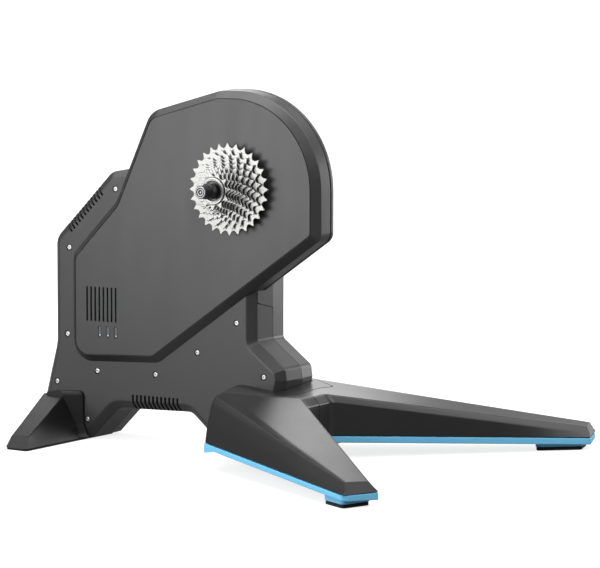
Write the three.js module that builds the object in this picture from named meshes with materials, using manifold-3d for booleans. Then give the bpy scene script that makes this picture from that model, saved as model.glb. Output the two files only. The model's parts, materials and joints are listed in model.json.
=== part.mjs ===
// Direct drive bike trainer: the rear wheel is taken off and the bike's chain runs on its cassette.
// Frame: +X is the front of the bike, -Y is its drive side, +Z is up, millimetres.
// The origin lies on the floor, in the middle of the footprint.
// Shapes of the body are worked out from the axle: x from the axle, z from the floor.

import * as THREE from 'three';
import { mergeVertices } from 'three/addons/utils/BufferGeometryUtils.js';
import Module from 'manifold-3d';

const wasm = await Module();
wasm.setup();

// Overall sizes
const AXLE_HEIGHT = 338.7;
const REAR_REACH = 309;
const FRONT_REACH = 374;
const HALF_STANCE = 321;

// Clearances
const SEAT_GAP = 0.3;
const RUN_GAP = 1.5;
const OVERRUN = 20;
const ARC_ERROR = 0.4;
const TURN_ERROR = 0.25;
const LEAST_RADIUS = 0.2;
const MERGE_DISTANCE = 0.0005;

// Body shells
const PLATE_Y = 12;
const BODY_WIDTH = 85;
const SEAM_DEPTH = 46;
const EDGE_CHAMFER = 10;
const SHELL_WALL = 3;
const FRONT_FOOT_HEIGHT = 21;
const REAR_FOOT_HEIGHT = 3;
const JOG_Y = 24;
const JOG_HEIGHT = 192.7;
const JOG_FALL = 8.2;
const JOG_BACK = 14;

// Belt cover and head
const HEAD_RADIUS = 125;
const COVER_RISE = 10;
const COVER_CHAMFER = 9.4;
const COVER_DRAFT = 1;
const COVER_DEPTH = 32;
const RIM_DEPTH = 8;
const RIM_WALL = 5;
const RIM_FLANGE = 12;
const HEAD_BACK_DEPTH = 14;
const HEAD_BACK_SLOPE = 4;
const BELT_OPENING_INSET = 16;

// Body screws
const SCREW_HEAD_RADIUS = 3.3;
const SCREW_HEAD_DEPTH = 2.2;
const SCREW_SHANK_RADIUS = 1.9;
const SCREW_LENGTH = 38;
const SCREW_RECESS_RADIUS = 4.35;
const SCREW_RECESS_DEPTH = 2.5;
const BOSS_RADIUS = 5;

// Vents and lights
const VENT_WIDTH = 3;
const VENT_PITCH = 6.3;
const VENT_COUNT = 12;
const VENT_REACH = 17.5;
const COVER_VENT_WIDTH = 2.6;
const COVER_VENT_PITCH = 6.45;
const COVER_VENT_COUNT = 8;
const COVER_VENT_LENGTH = 45;
const LIGHT_WIDTH = 5;
const LIGHT_LENGTH = 14.5;
const LIGHT_PITCH = 12.6;
const LIGHT_COUNT = 3;
const LIGHT_BAR_DEPTH = 4;

// Main frame
const FRAME_Y = 38;
const FRAME_THICKNESS = 8;
const FRAME_HEAD_RADIUS = 62;
const FRAME_EDGE_RADIUS = 12;
const AXLE_BOSS_RADIUS = 20;
const AXLE_BOSS_LENGTH = 12;
const SHAFT_BOSS_RADIUS = 22;
const SHAFT_BOSS_LENGTH = 15;
const PIN_RADIUS = 5;
const STANDOFF_RADIUS = 3;
const STANDOFF_LENGTH = 6;

// Axle line
const AXLE_RADIUS = 7.5;
const FREEHUB_RADIUS = 17.2;
const FREEHUB_LENGTH = 50.3;
const FREEHUB_END_Y = 5.5;
const LARGEST_SPROCKET_Y = -8.7;
const SPROCKET_PITCH = 3.95;
const SPROCKET_THICKNESS = 1.7;
const SPACER_WALL = 2.6;
const CHAIN_PITCH = 12.7;
const TOOTH_RISE = 2.5;
const TOOTH_DEPTH = 3.9;
const LOCKRING_RADIUS = 18;
const LOCKRING_THICKNESS = 2.4;
const LOCKRING_BORE = 12.6;
const COLLAR_RADIUS = 12;
const COLLAR_LENGTH = 11.9;
const NOSE_RADIUS = 8.2;
const NOSE_LENGTH = 16;
const NOSE_CHAMFER = 1.2;
const FAR_COLLAR_LENGTH = 13.5;
const FAR_NOSE_LENGTH = 5;
const SOCKET_DEPTH = 8;

// Belt drive
const BELT_Y = 14;
const BELT_WIDTH = 18;
const BELT_THICKNESS = 3;
const DRIVE_PULLEY_RADIUS = 98;
const DRIVE_HUB_RADIUS = 24;
const DRIVE_HUB_Y = 6;
const DRIVE_HUB_LENGTH = 29;
const PULLEY_WEB = 5;
const PULLEY_RIM = 8;
const SMALL_PULLEY_RADIUS = 21;
const IDLER_RADIUS = 14;
const HUB_BEARING_RADIUS = 13;
const HUB_BEARING_WIDTH = 7;
const BEARING_LIP = 2;

// Flywheel
const FLYWHEEL_RADIUS = 110;
const FLYWHEEL_Y = 64;
const FLYWHEEL_WIDTH = 28;
const FLYWHEEL_RIM = 30;
const FLYWHEEL_WEB = 8;
const FLYWHEEL_HUB_RADIUS = 22;
const SHAFT_RADIUS = 8;
const SHAFT_BEARING_RADIUS = 16;
const SHAFT_BEARING_WIDTH = 6;

// Brake and electronics
const BRAKE_PLATE_RADIUS = 75;
const BRAKE_PLATE_THICKNESS = 2.5;
const COIL_COUNT = 4;
const COIL_RADIUS = 13;
const COIL_LENGTH = 12;
const CORE_RADIUS = 6;
const COIL_CIRCLE_RADIUS = 50;
const BOARD_THICKNESS = 1.6;
const BOARD_WIDTH = 48;
const BOARD_LENGTH = 92;
const CHIP_WIDTH = 14;
const CHIP_HEIGHT = 3;
const INLET_RADIUS = 7.7;
const INLET_LENGTH = 13;
const INLET_BORE = 3;
const INLET_DEPTH = 9;

// Legs
const LEG_ROOT_HEIGHT = 92;
const BASE_HUB_HEIGHT = 35.9;
const BASE_TIP_HEIGHT = 15.9;
const BASE_THICKNESS = 8.4;
const BASE_RIM_THICKNESS = 6.6;
const BASE_PROUD = 0.6;
const LEG_WALL = 5;
const LEG_TOP_WALL = 6.5;
const HUB_COVER_THICKNESS = 2;
const HUB_COVER_LOW = 66;
const HEEL_DEPTH = 5.5;
const HEEL_LENGTH = 26;
const PAD_HEIGHT = 3.4;
const PAD_INSET = 1.5;
const HUB_THICKNESS = 8;
const HUB_FRONT = 112;
const HUB_NEAR = 34;
const HUB_FAR = 84;

// Rear foot
const FOOT_ROOT_HEIGHT = 62;
const FOOT_FLANGE_Y = -1;
const FOOT_FLANGE_EDGE_Y = 8;
const FOOT_FLANGE_SLANT = 0.62;
const FOOT_REACH = 124;

// Outlines as shares of REAR_REACH (x, radius) and AXLE_HEIGHT (z)
const towerTopShares = [0.0793, 0.709, 0.049];
const bodyOutlineShares = [
  [-1, -0.059, 0.013],
  [-0.816, -0.059, 0.013],
  [-0.615, 0.124, 0.065],
  [-0.249, 0.131, 0.049],
  [-0.010, -0.059, 0.013],
  [0.2071, -0.059, 0.013],
  [0.2071, 0.2268, 0.01],
  [0.2214, 0.2823, 0.012],
  [0.2142, 0.3295, 0.03],
  [0.0793, 0.425, 0.02],
  towerTopShares,
  [-0.382, 1.083, 0.081],
  [-0.649, 1.046, 0.071],
  [-0.9385, 0.779, 0.081],
  [-0.9385, 0.369, 0.194],
  [-1, 0.151, 0.049],
];
const archDividerShare = -0.42;
const coverLobeShares = [
  [-0.605, 0.933, 0.113],
  [-0.8285, 0.722, 0.065],
  [-0.8285, 0.2997, 0.097],
  [-0.3896, 0.3156, 0.081],
];
const coverFrontCornerShares = [0.8217, 0.13];
const coverTopShares = [-0.08, 0.48];
const coverShoulderShares = [-0.431, 0.76, 0.25];
const screwPlaceShares = [
  [-0.609, 0.977],
  [-0.847, 0.743],
  [-0.858, 0.406],
  [-0.913, 0.218],
  [-0.7045, 0.270],
  [-0.409, 0.2725],
  [-0.199, 0.369],
  [-0.006, 0.491],
  [0.1265, 0.2935],
  [-0.7575, 0.0785],
];
const flywheelPlaceShares = [-0.4855, 0.620];
const frameOutlineShares = [
  [-0.958, 0.0186],
  [-0.770, 0.0186],
  [-0.647, 0.177],
  [-0.194, 0.183],
  [-0.129, 0.0717],
  [0.162, 0.0717],
  [0.162, 0.295],
  [0.026, 0.413],
  [0.026, 0.886],
  [-0.243, 1.02],
  [-0.647, 0.753],
  [-0.848, 0.354],
];
const idlerRunShare = 0.5;
const coverVentPlaceShares = [-0.66, 0.533];
const lightPlaceShares = [-0.6275, 0.4275];
const boardPlaceShares = [-0.70, 0.50];
const inletPlaceShares = [-0.865, 0.31];
const archVentPlaceShares = [-0.411, 0.137];
const archVentDirectionShares = [1, 0];
const slopeVentPlaceShares = [-0.792, 0.914];
const slopeVentDirectionShares = [0.701, 0.713];

// Leg sections as shares of FRONT_REACH, HALF_STANCE and LEG_ROOT_HEIGHT
// from the rear foot line over the ridge and the top to the inner foot line
const legSectionShares = [
  [
    [-0.008, 0, 0], [-0.008, 0, 0.63], [-0.006, 0, 0.826], [0, 0, 0.924], [0.008, 0, 0.957],
    [0.155, 0, 0.875], [0.3235, 0, 0.8935], [0.3457, 0, 0.785], [0.3457, 0, 0],
  ],
  [
    [0.123, -0.424, 0], [0.123, -0.408, 0.63], [0.123, -0.374, 0.891], [0.123, -0.346, 0.978],
    [0.1246, -0.287, 1], [0.227, -0.187, 0.94], [0.3209, -0.09, 0.891], [0.3463, -0.0935, 0.783],
    [0.349, -0.0903, 0],
  ],
  [
    [0.9497, -0.997, 0], [0.948, -0.9875, 0.228], [0.945, -0.975, 0.283], [0.9425, -0.966, 0.321],
    [0.9404, -0.958, 0.342], [0.957, -0.91, 0.335], [0.9746, -0.861, 0.321], [0.9893, -0.852, 0.239],
    [0.9984, -0.838, 0],
  ],
];
const legHollowShares = [0.12, 0.93];
const footPadShares = [
  [0.831, -0.897],
  [0.933, -0.965],
  [0.968, -0.838],
  [0.833, -0.70],
];
const footPadRadiusShare = 0.016;
const hubCoverShares = [
  [0.2527, -0.0125],
  [0.2527, 0.2826],
  [0.179, 0.3115],
  [0.02, 0.3115],
  [0.02, -0.0125],
];

// Rear foot sections as shares of REAR_REACH, FOOT_REACH and FOOT_ROOT_HEIGHT
const footSectionShares = [
  [[-0.871, -0.972, 0], [-0.86, -0.9, 0.26], [-0.766, -0.925, 0.27], [-0.76, -0.968, 0.14],
    [-0.757, -1, 0]],
  [[-0.955, -0.02, 0], [-0.952, -0.02, 0.95], [-0.846, -0.02, 0.935], [-0.8, -0.02, 0.52],
    [-0.765, -0.02, 0]],
  [[-0.955, 0, 0], [-0.952, 0, 0.95], [-0.846, 0, 0.935], [-0.8, 0, 0.52], [-0.765, 0, 0]],
];
const footFlangeShares = [
  [-0.968, 0, 0.003],
  [-0.734, 0, 0.003],
  [-0.752, 0.053, 0.05],
  [-0.771, 0.344, 0.1],
  [-0.772, 1.04, 0.025],
  [-0.93, 1, 0.05],
  [-0.968, 0.6, 0.1],
];
const rearPadShares = [
  [-0.857, -0.996],
  [-0.748, -1],
  [-0.68, -0.01],
  [-0.742, 0.73],
  [-0.955, 0.73],
  [-0.955, -0.08],
];

const AXLE_X = (REAR_REACH - FRONT_REACH) / 2;
const BODY_FAR_Y = PLATE_Y + BODY_WIDTH;
const BODY_SEAM_Y = PLATE_Y + SEAM_DEPTH;
const COVER_FACE_Y = PLATE_Y - COVER_RISE;
const COVER_SEAM_Y = COVER_FACE_Y + COVER_DEPTH;
const RIM_BACK_Y = COVER_SEAM_Y + RIM_DEPTH;
const FRAME_BACK_Y = FRAME_Y + FRAME_THICKNESS;
const SMALL_SIDES = 8;
const WALL_BEND = Math.tan(Math.PI / 8);

const bodyX = (share) => share * REAR_REACH;
const bodyZ = (share) => share * AXLE_HEIGHT;
const flywheelX = bodyX(flywheelPlaceShares[0]);
const flywheelZ = bodyZ(flywheelPlaceShares[1]);

// Sides of a circle that keep the flats within the turning error
function sidesOf(radius) {
  const share = Math.min(1, TURN_ERROR / radius);
  return Math.max(SMALL_SIDES, 4 * Math.ceil(Math.PI / Math.acos(1 - share) / 4));
}

// Manifold solids from closed three.js geometry, and back
function outward(geometry) {
  const place = geometry.attributes.position;
  const index = geometry.index.array;
  const corner = [new THREE.Vector3(), new THREE.Vector3(), new THREE.Vector3()];
  let volume = 0;
  for (let i = 0; i < index.length; i += 3) {
    corner.forEach((point, k) => point.fromBufferAttribute(place, index[i + k]));
    volume += corner[0].dot(corner[1].clone().cross(corner[2]));
  }
  if (volume < 0) {
    for (let i = 0; i < index.length; i += 3) {
      [index[i], index[i + 1]] = [index[i + 1], index[i]];
    }
  }
  return geometry;
}

function solidOf(geometry) {
  const bare = geometry.clone();
  bare.deleteAttribute('normal');
  bare.deleteAttribute('uv');
  const merged = outward(mergeVertices(bare, MERGE_DISTANCE));
  const index = [];
  const source = merged.index.array;
  for (let i = 0; i < source.length; i += 3) {
    const [a, b, c] = source.slice(i, i + 3);
    if (a !== b && b !== c && c !== a) {
      index.push(a, b, c);
    }
  }
  return new wasm.Manifold(new wasm.Mesh({
    numProp: 3,
    vertProperties: merged.attributes.position.array,
    triVerts: new Uint32Array(index),
  }));
}

function geometryOf(solid) {
  const mesh = solid.getMesh();
  const geometry = new THREE.BufferGeometry();
  geometry.setAttribute('position', new THREE.BufferAttribute(mesh.vertProperties, 3));
  geometry.setIndex(new THREE.BufferAttribute(mesh.triVerts, 1));
  const flat = geometry.toNonIndexed();
  flat.computeVertexNormals();
  return flat;
}

const joined = (solids) => solids.reduce((whole, next) => whole.add(next));

// Loop of points with rounded corners, moved inwards by an inset
// corners are [x, z, radius], counter-clockwise
function roundedLoop(corners, inset) {
  const count = corners.length;
  const points = corners.map(([x, z]) => new THREE.Vector2(x, z));
  const edgeOf = (i) => points[(i + 1) % count].clone().sub(points[i]).normalize();
  const loop = [];
  for (let i = 0; i < count; i += 1) {
    const before = edgeOf((i + count - 1) % count);
    const after = edgeOf(i);
    const cross = before.x * after.y - before.y * after.x;
    const turn = Math.atan2(cross, before.dot(after));
    const side = Math.sign(turn);
    const wanted = corners[i][2];
    const radius = Math.max(wanted - side * inset, LEAST_RADIUS);
    const inward = new THREE.Vector2(-before.y, before.x);
    const bisector = inward.clone().add(new THREE.Vector2(-after.y, after.x)).normalize();
    const spread = Math.cos(turn / 2);
    const tip = points[i].clone().addScaledVector(bisector, inset / spread);
    const centre = tip.clone().addScaledVector(bisector, side * radius / spread);
    const share = Math.min(1, ARC_ERROR / Math.max(wanted, ARC_ERROR));
    const steps = Math.max(2, Math.ceil(Math.abs(turn) / (2 * Math.acos(1 - share))));
    const start = Math.atan2(-side * inward.y, -side * inward.x);
    for (let k = 0; k <= steps; k += 1) {
      const angle = start + turn * k / steps;
      loop.push(new THREE.Vector2(
        centre.x + radius * Math.cos(angle),
        centre.y + radius * Math.sin(angle),
      ));
    }
  }
  return loop;
}

// Closed skin through loops of as many points each, capped at both ends
function loft(loops) {
  const count = loops[0].length;
  const vertices = loops.flat().flatMap((point) => [point.x, point.y, point.z]);
  const index = [];
  for (let ring = 0; ring + 1 < loops.length; ring += 1) {
    for (let i = 0; i < count; i += 1) {
      const a = ring * count + i;
      const b = ring * count + (i + 1) % count;
      index.push(a, b, b + count, a, b + count, a + count);
    }
  }
  const capOf = (loop, first, flipped) => {
    const flat = flattened(loop);
    const isClockwise = THREE.ShapeUtils.isClockWise(flat);
    const order = flat.map((_, i) => (isClockwise ? count - 1 - i : i));
    const faces = THREE.ShapeUtils.triangulateShape(order.map((i) => flat[i]), []);
    faces.forEach((face) => {
      const [a, b, c] = face.map((k) => first + order[k]);
      index.push(...(isClockwise !== flipped ? [a, c, b] : [a, b, c]));
    });
  };
  capOf(loops[0], 0, true);
  capOf(loops[loops.length - 1], (loops.length - 1) * count, false);
  const geometry = new THREE.BufferGeometry();
  geometry.setAttribute('position', new THREE.Float32BufferAttribute(vertices, 3));
  geometry.setIndex(index);
  return solidOf(geometry);
}

// A loop of points in space, seen square to its own plane
function flattened(loop) {
  const normal = new THREE.Vector3();
  loop.forEach((point, i) => {
    const next = loop[(i + 1) % loop.length];
    normal.add(point.clone().cross(next));
  });
  normal.normalize();
  const across = new THREE.Vector3(normal.z, normal.x, normal.y).cross(normal).normalize();
  const up = normal.clone().cross(across);
  return loop.map((point) => new THREE.Vector2(point.dot(across), point.dot(up)));
}

// Loops of an outline stacked along Y, each [y, inset]
function stacked(corners, layers) {
  return loft(layers.map(([y, inset]) => (
    roundedLoop(corners, inset).map((point) => new THREE.Vector3(point.x, y, point.y))
  )));
}

function box(xs, ys, zs) {
  const size = [xs, ys, zs].map(([low, high]) => high - low);
  const geometry = new THREE.BoxGeometry(...size);
  geometry.translate(...[xs, ys, zs].map(([low, high]) => (low + high) / 2));
  return solidOf(geometry);
}

// Solid turned round an axis along Y at (x, z), from [radius, y] pairs
function turned(profile, x, z) {
  const points = profile.map(([radius, y]) => new THREE.Vector2(radius, y));
  const sides = sidesOf(Math.max(...profile.map(([radius]) => radius)));
  const geometry = new THREE.LatheGeometry(points, sides);
  geometry.translate(x, 0, z);
  return solidOf(geometry);
}

function ring(inner, outer, y0, y1, x, z) {
  return turned([[inner, y0], [outer, y0], [outer, y1], [inner, y1], [inner, y0]], x, z);
}

function disc(radius, y0, y1, x, z) {
  return turned([[0, y0], [radius, y0], [radius, y1], [0, y1]], x, z);
}

// Outlines in millimetres
const bodyCorners = bodyOutlineShares.map(([x, z, r]) => [bodyX(x), bodyZ(z), bodyX(r)]);
const headTop = AXLE_HEIGHT + HEAD_RADIUS;
const coverCorners = [
  [HEAD_RADIUS, bodyZ(coverFrontCornerShares[0]), coverFrontCornerShares[1] * HEAD_RADIUS],
  [HEAD_RADIUS, headTop, HEAD_RADIUS],
  [bodyX(coverTopShares[0]), headTop, coverTopShares[1] * HEAD_RADIUS],
  [
    bodyX(coverShoulderShares[0]),
    AXLE_HEIGHT + coverShoulderShares[1] * HEAD_RADIUS,
    coverShoulderShares[2] * HEAD_RADIUS,
  ],
  ...coverLobeShares.map(([x, z, r]) => [bodyX(x), bodyZ(z), bodyX(r)]),
];
const screwPlaces = screwPlaceShares.map(([x, z]) => [bodyX(x), bodyZ(z)]);

// Body blank: chamfered on both faces, flat under both feet
function bodyBlank(grow) {
  const wide = BODY_WIDTH + OVERRUN;
  const divider = bodyX(archDividerShare);
  const blank = stacked(bodyCorners, [
    [PLATE_Y - grow, EDGE_CHAMFER - grow * WALL_BEND],
    [PLATE_Y + EDGE_CHAMFER - grow * WALL_BEND, -grow],
    [BODY_FAR_Y - EDGE_CHAMFER + grow * WALL_BEND, -grow],
    [BODY_FAR_Y + grow, EDGE_CHAMFER - grow * WALL_BEND],
  ]);
  const depths = [-wide, wide + PLATE_Y];
  const frontCut = box([divider, REAR_REACH], depths, [-AXLE_HEIGHT, FRONT_FOOT_HEIGHT - grow]);
  const rearCut = box([-2 * REAR_REACH, divider], depths, [-AXLE_HEIGHT, REAR_FOOT_HEIGHT - grow]);
  return blank.subtract(frontCut).subtract(rearCut);
}

const bodyOuter = bodyBlank(0);
const bodyInner = bodyBlank(-SHELL_WALL);
const bodyRoom = bodyBlank(SEAT_GAP);

function slantedBox(centre, direction, width, length, ys) {
  const along = new THREE.Vector2(...direction).normalize();
  const across = new THREE.Vector2(-along.y, along.x);
  const corners = [[-1, -1], [1, -1], [1, 1], [-1, 1]].map(([a, b]) => (
    centre.clone().addScaledVector(along, a * width / 2).addScaledVector(across, b * length / 2)
  ));
  return loft(ys.map((y) => corners.map((point) => new THREE.Vector3(point.x, y, point.y))));
}

// Rows of vent slots over the chamfer: one on the sloped rear edge, one over the arch
function ventRow(placeShares, directionShares, ys) {
  const along = new THREE.Vector2(...directionShares).normalize();
  const place = new THREE.Vector2(bodyX(placeShares[0]), bodyZ(placeShares[1]));
  const cuts = [];
  for (let i = 0; i < VENT_COUNT; i += 1) {
    const step = (i - (VENT_COUNT - 1) / 2) * VENT_PITCH;
    const centre = place.clone().addScaledVector(along, step);
    cuts.push(slantedBox(centre, [along.x, along.y], VENT_WIDTH, 2 * VENT_REACH, ys));
  }
  return joined(cuts);
}

const slopeVents = (ys) => ventRow(slopeVentPlaceShares, slopeVentDirectionShares, ys);
const archVents = (ys) => ventRow(archVentPlaceShares, archVentDirectionShares, ys);

const bossEndY = BODY_SEAM_Y - SEAT_GAP;
const recessFloorY = PLATE_Y + SCREW_RECESS_DEPTH;
// The far shell reaches over the seam at the top of the tower's front
function jogRoom(gap) {
  const farY = BODY_SEAM_Y + SEAT_GAP;
  const profile = [
    [JOG_Y - gap, JOG_HEIGHT - gap],
    [farY, JOG_HEIGHT - JOG_FALL - gap],
    [farY, headTop],
    [JOG_Y - gap, headTop],
  ];
  const rear = bodyX(towerTopShares[0]) - JOG_BACK - gap;
  return loft([rear, REAR_REACH].map((x) => profile.map(([y, z]) => new THREE.Vector3(x, y, z))));
}

// Window behind the cover for the pulleys, the belt and the frame's head
const beltOpening = () => stacked(coverCorners, [
  [0, BELT_OPENING_INSET],
  [FRAME_BACK_Y + RUN_GAP, BELT_OPENING_INSET],
]);

function driveSideShell() {
  const near = box(
    [-2 * REAR_REACH, 2 * REAR_REACH],
    [-BODY_WIDTH, BODY_SEAM_Y - SEAT_GAP / 2],
    [-AXLE_HEIGHT, headTop],
  );
  const bosses = screwPlaces.map(([x, z]) => (
    disc(BOSS_RADIUS, PLATE_Y + SHELL_WALL / 2, bossEndY, x, z)
  ));
  const holes = screwPlaces.map(([x, z]) => (
    disc(SCREW_SHANK_RADIUS + SEAT_GAP, 0, BODY_SEAM_Y, x, z)
  ));
  const recesses = screwPlaces.map(([x, z]) => (
    disc(SCREW_RECESS_RADIUS, 0, recessFloorY, x, z)
  ));
  return bodyOuter.subtract(bodyInner)
    .intersect(near)
    .add(joined(bosses).intersect(bodyOuter))
    .subtract(joined([...holes, ...recesses]))
    .subtract(beltOpening())
    .subtract(slopeVents([0, PLATE_Y + EDGE_CHAMFER + SHELL_WALL]))
    .subtract(archVents([0, PLATE_Y + EDGE_CHAMFER + SHELL_WALL]))
    .subtract(jogRoom(SEAT_GAP));
}

function farSideShell() {
  const far = box(
    [-2 * REAR_REACH, 2 * REAR_REACH],
    [BODY_SEAM_Y + SEAT_GAP / 2, 2 * BODY_FAR_Y],
    [-AXLE_HEIGHT, headTop],
  );
  const shell = bodyOuter.subtract(bodyInner);
  const bosses = screwPlaces.map(([x, z]) => (
    disc(BOSS_RADIUS, BODY_SEAM_Y + SEAT_GAP, BODY_FAR_Y - SHELL_WALL / 2, x, z)
  ));
  const bores = screwPlaces.map(([x, z]) => (
    disc(SCREW_SHANK_RADIUS + SEAT_GAP, 0, BODY_SEAM_Y + SCREW_LENGTH / 2, x, z)
  ));
  const inlet = disc(
    INLET_RADIUS + SEAT_GAP,
    BODY_SEAM_Y,
    2 * BODY_FAR_Y,
    bodyX(inletPlaceShares[0]),
    bodyZ(inletPlaceShares[1]),
  );
  return shell.intersect(far)
    .add(joined(bosses).intersect(bodyOuter))
    .subtract(joined(bores))
    .add(shell.intersect(jogRoom(0)).subtract(beltOpening()))
    .subtract(slopeVents([BODY_FAR_Y - EDGE_CHAMFER - SHELL_WALL, 2 * BODY_FAR_Y]))
    .subtract(inlet);
}

// Cover over the belt: chamfered face, drafted side wall, open at the back
function beltCover() {
  const chamferY = COVER_FACE_Y + COVER_RISE;
  const outer = stacked(coverCorners, [
    [COVER_FACE_Y, COVER_DRAFT + COVER_CHAMFER],
    [chamferY, COVER_DRAFT],
    [COVER_SEAM_Y, 0],
  ]);
  const bend = SHELL_WALL * WALL_BEND;
  const inner = stacked(coverCorners, [
    [COVER_FACE_Y + SHELL_WALL, COVER_DRAFT + COVER_CHAMFER + bend],
    [chamferY + bend, COVER_DRAFT + SHELL_WALL],
    [COVER_SEAM_Y + OVERRUN, SHELL_WALL],
  ]);
  const hole = disc(FREEHUB_RADIUS + RUN_GAP, -BODY_WIDTH, PLATE_Y, 0, AXLE_HEIGHT);
  const through = [COVER_FACE_Y - OVERRUN, PLATE_Y];
  const ventX = bodyX(coverVentPlaceShares[0]);
  const ventZ = bodyZ(coverVentPlaceShares[1]);
  const slots = [];
  for (let i = 0; i < COVER_VENT_COUNT; i += 1) {
    const x = ventX + (i - (COVER_VENT_COUNT - 1) / 2) * COVER_VENT_PITCH;
    slots.push(box(
      [x - COVER_VENT_WIDTH / 2, x + COVER_VENT_WIDTH / 2],
      through,
      [ventZ - COVER_VENT_LENGTH / 2, ventZ + COVER_VENT_LENGTH / 2],
    ));
  }
  return outer.subtract(inner)
    .subtract(hole)
    .subtract(joined(slots))
    .subtract(joined(lightBars(SEAT_GAP, through)))
    .subtract(bodyRoom);
}

function lightBars(grow, ys) {
  const bars = [];
  for (let i = 0; i < LIGHT_COUNT; i += 1) {
    const x = bodyX(lightPlaceShares[0]) + (i - (LIGHT_COUNT - 1) / 2) * LIGHT_PITCH;
    const z = bodyZ(lightPlaceShares[1]);
    bars.push(box(
      [x - LIGHT_WIDTH / 2 - grow, x + LIGHT_WIDTH / 2 + grow],
      ys,
      [z - LIGHT_LENGTH / 2 - grow, z + LIGHT_LENGTH / 2 + grow],
    ));
  }
  return bars;
}

// Light guide: three bars through the cover on one strip behind it
function lightGuide() {
  const backY = COVER_FACE_Y + SHELL_WALL + SEAT_GAP;
  const halfWidth = LIGHT_PITCH * LIGHT_COUNT / 2;
  const x = bodyX(lightPlaceShares[0]);
  const z = bodyZ(lightPlaceShares[1]);
  const strip = box(
    [x - halfWidth, x + halfWidth],
    [backY, backY + LIGHT_BAR_DEPTH],
    [z - LIGHT_LENGTH, z + LIGHT_LENGTH],
  );
  return joined([strip, ...lightBars(0, [COVER_FACE_Y, backY + LIGHT_BAR_DEPTH])]);
}

function coverRim() {
  const startY = COVER_SEAM_Y + SEAT_GAP;
  const outer = stacked(coverCorners, [
    [startY, SEAT_GAP],
    [startY + COVER_DRAFT, -SEAT_GAP],
    [RIM_BACK_Y - COVER_DRAFT, -SEAT_GAP],
    [RIM_BACK_Y, COVER_DRAFT],
  ]);
  const well = stacked(coverCorners, [
    [startY - OVERRUN, RIM_WALL],
    [RIM_BACK_Y - SHELL_WALL, RIM_WALL],
  ]);
  const window = stacked(coverCorners, [
    [startY - OVERRUN, RIM_FLANGE],
    [RIM_BACK_Y + OVERRUN, RIM_FLANGE],
  ]);
  return outer.subtract(well).subtract(window).subtract(bodyRoom);
}

function headBack() {
  const startY = RIM_BACK_Y + SEAT_GAP;
  const endY = startY + HEAD_BACK_DEPTH;
  const inset = RIM_FLANGE - SHELL_WALL / 2;
  const outer = stacked(coverCorners, [[startY, inset], [endY, inset + HEAD_BACK_SLOPE]]);
  const inner = stacked(coverCorners, [
    [startY - OVERRUN, inset + SHELL_WALL],
    [startY, inset + SHELL_WALL],
    [endY - SHELL_WALL, inset + SHELL_WALL + HEAD_BACK_SLOPE],
  ]);
  const hole = disc(AXLE_BOSS_RADIUS + SEAT_GAP, 0, BODY_FAR_Y, 0, AXLE_HEIGHT);
  return outer.subtract(inner).subtract(hole).subtract(bodyRoom);
}

// Main frame: a plate with the axle boss, the shaft boss, the idler pin and board standoffs
function idlerPlace() {
  const span = new THREE.Vector2(flywheelX, flywheelZ - AXLE_HEIGHT);
  const length = span.length();
  const along = span.clone().normalize();
  const lean = Math.asin((DRIVE_PULLEY_RADIUS - SMALL_PULLEY_RADIUS) / length);
  const side = new THREE.Vector2(-along.y, along.x);
  const normal = side.multiplyScalar(Math.cos(lean)).addScaledVector(along, Math.sin(lean));
  const run = DRIVE_PULLEY_RADIUS + BELT_THICKNESS + IDLER_RADIUS + SEAT_GAP;
  const travel = new THREE.Vector2(normal.y, -normal.x);
  const distance = idlerRunShare * length * Math.cos(lean);
  const sign = Math.sign(travel.dot(along));
  const place = normal.clone().multiplyScalar(run).addScaledVector(travel, sign * distance);
  return [place.x, AXLE_HEIGHT + place.y];
}

const [idlerX, idlerZ] = idlerPlace();
const boardX = bodyX(boardPlaceShares[0]);
const boardZ = bodyZ(boardPlaceShares[1]);
const standoffPlaces = [
  [boardX + BOARD_WIDTH / 2 - BOSS_RADIUS, boardZ - BOARD_LENGTH / 2 + BOSS_RADIUS],
  [boardX + BOARD_WIDTH / 2 - BOSS_RADIUS, boardZ + BOARD_LENGTH / 2 - BOSS_RADIUS],
];

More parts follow.
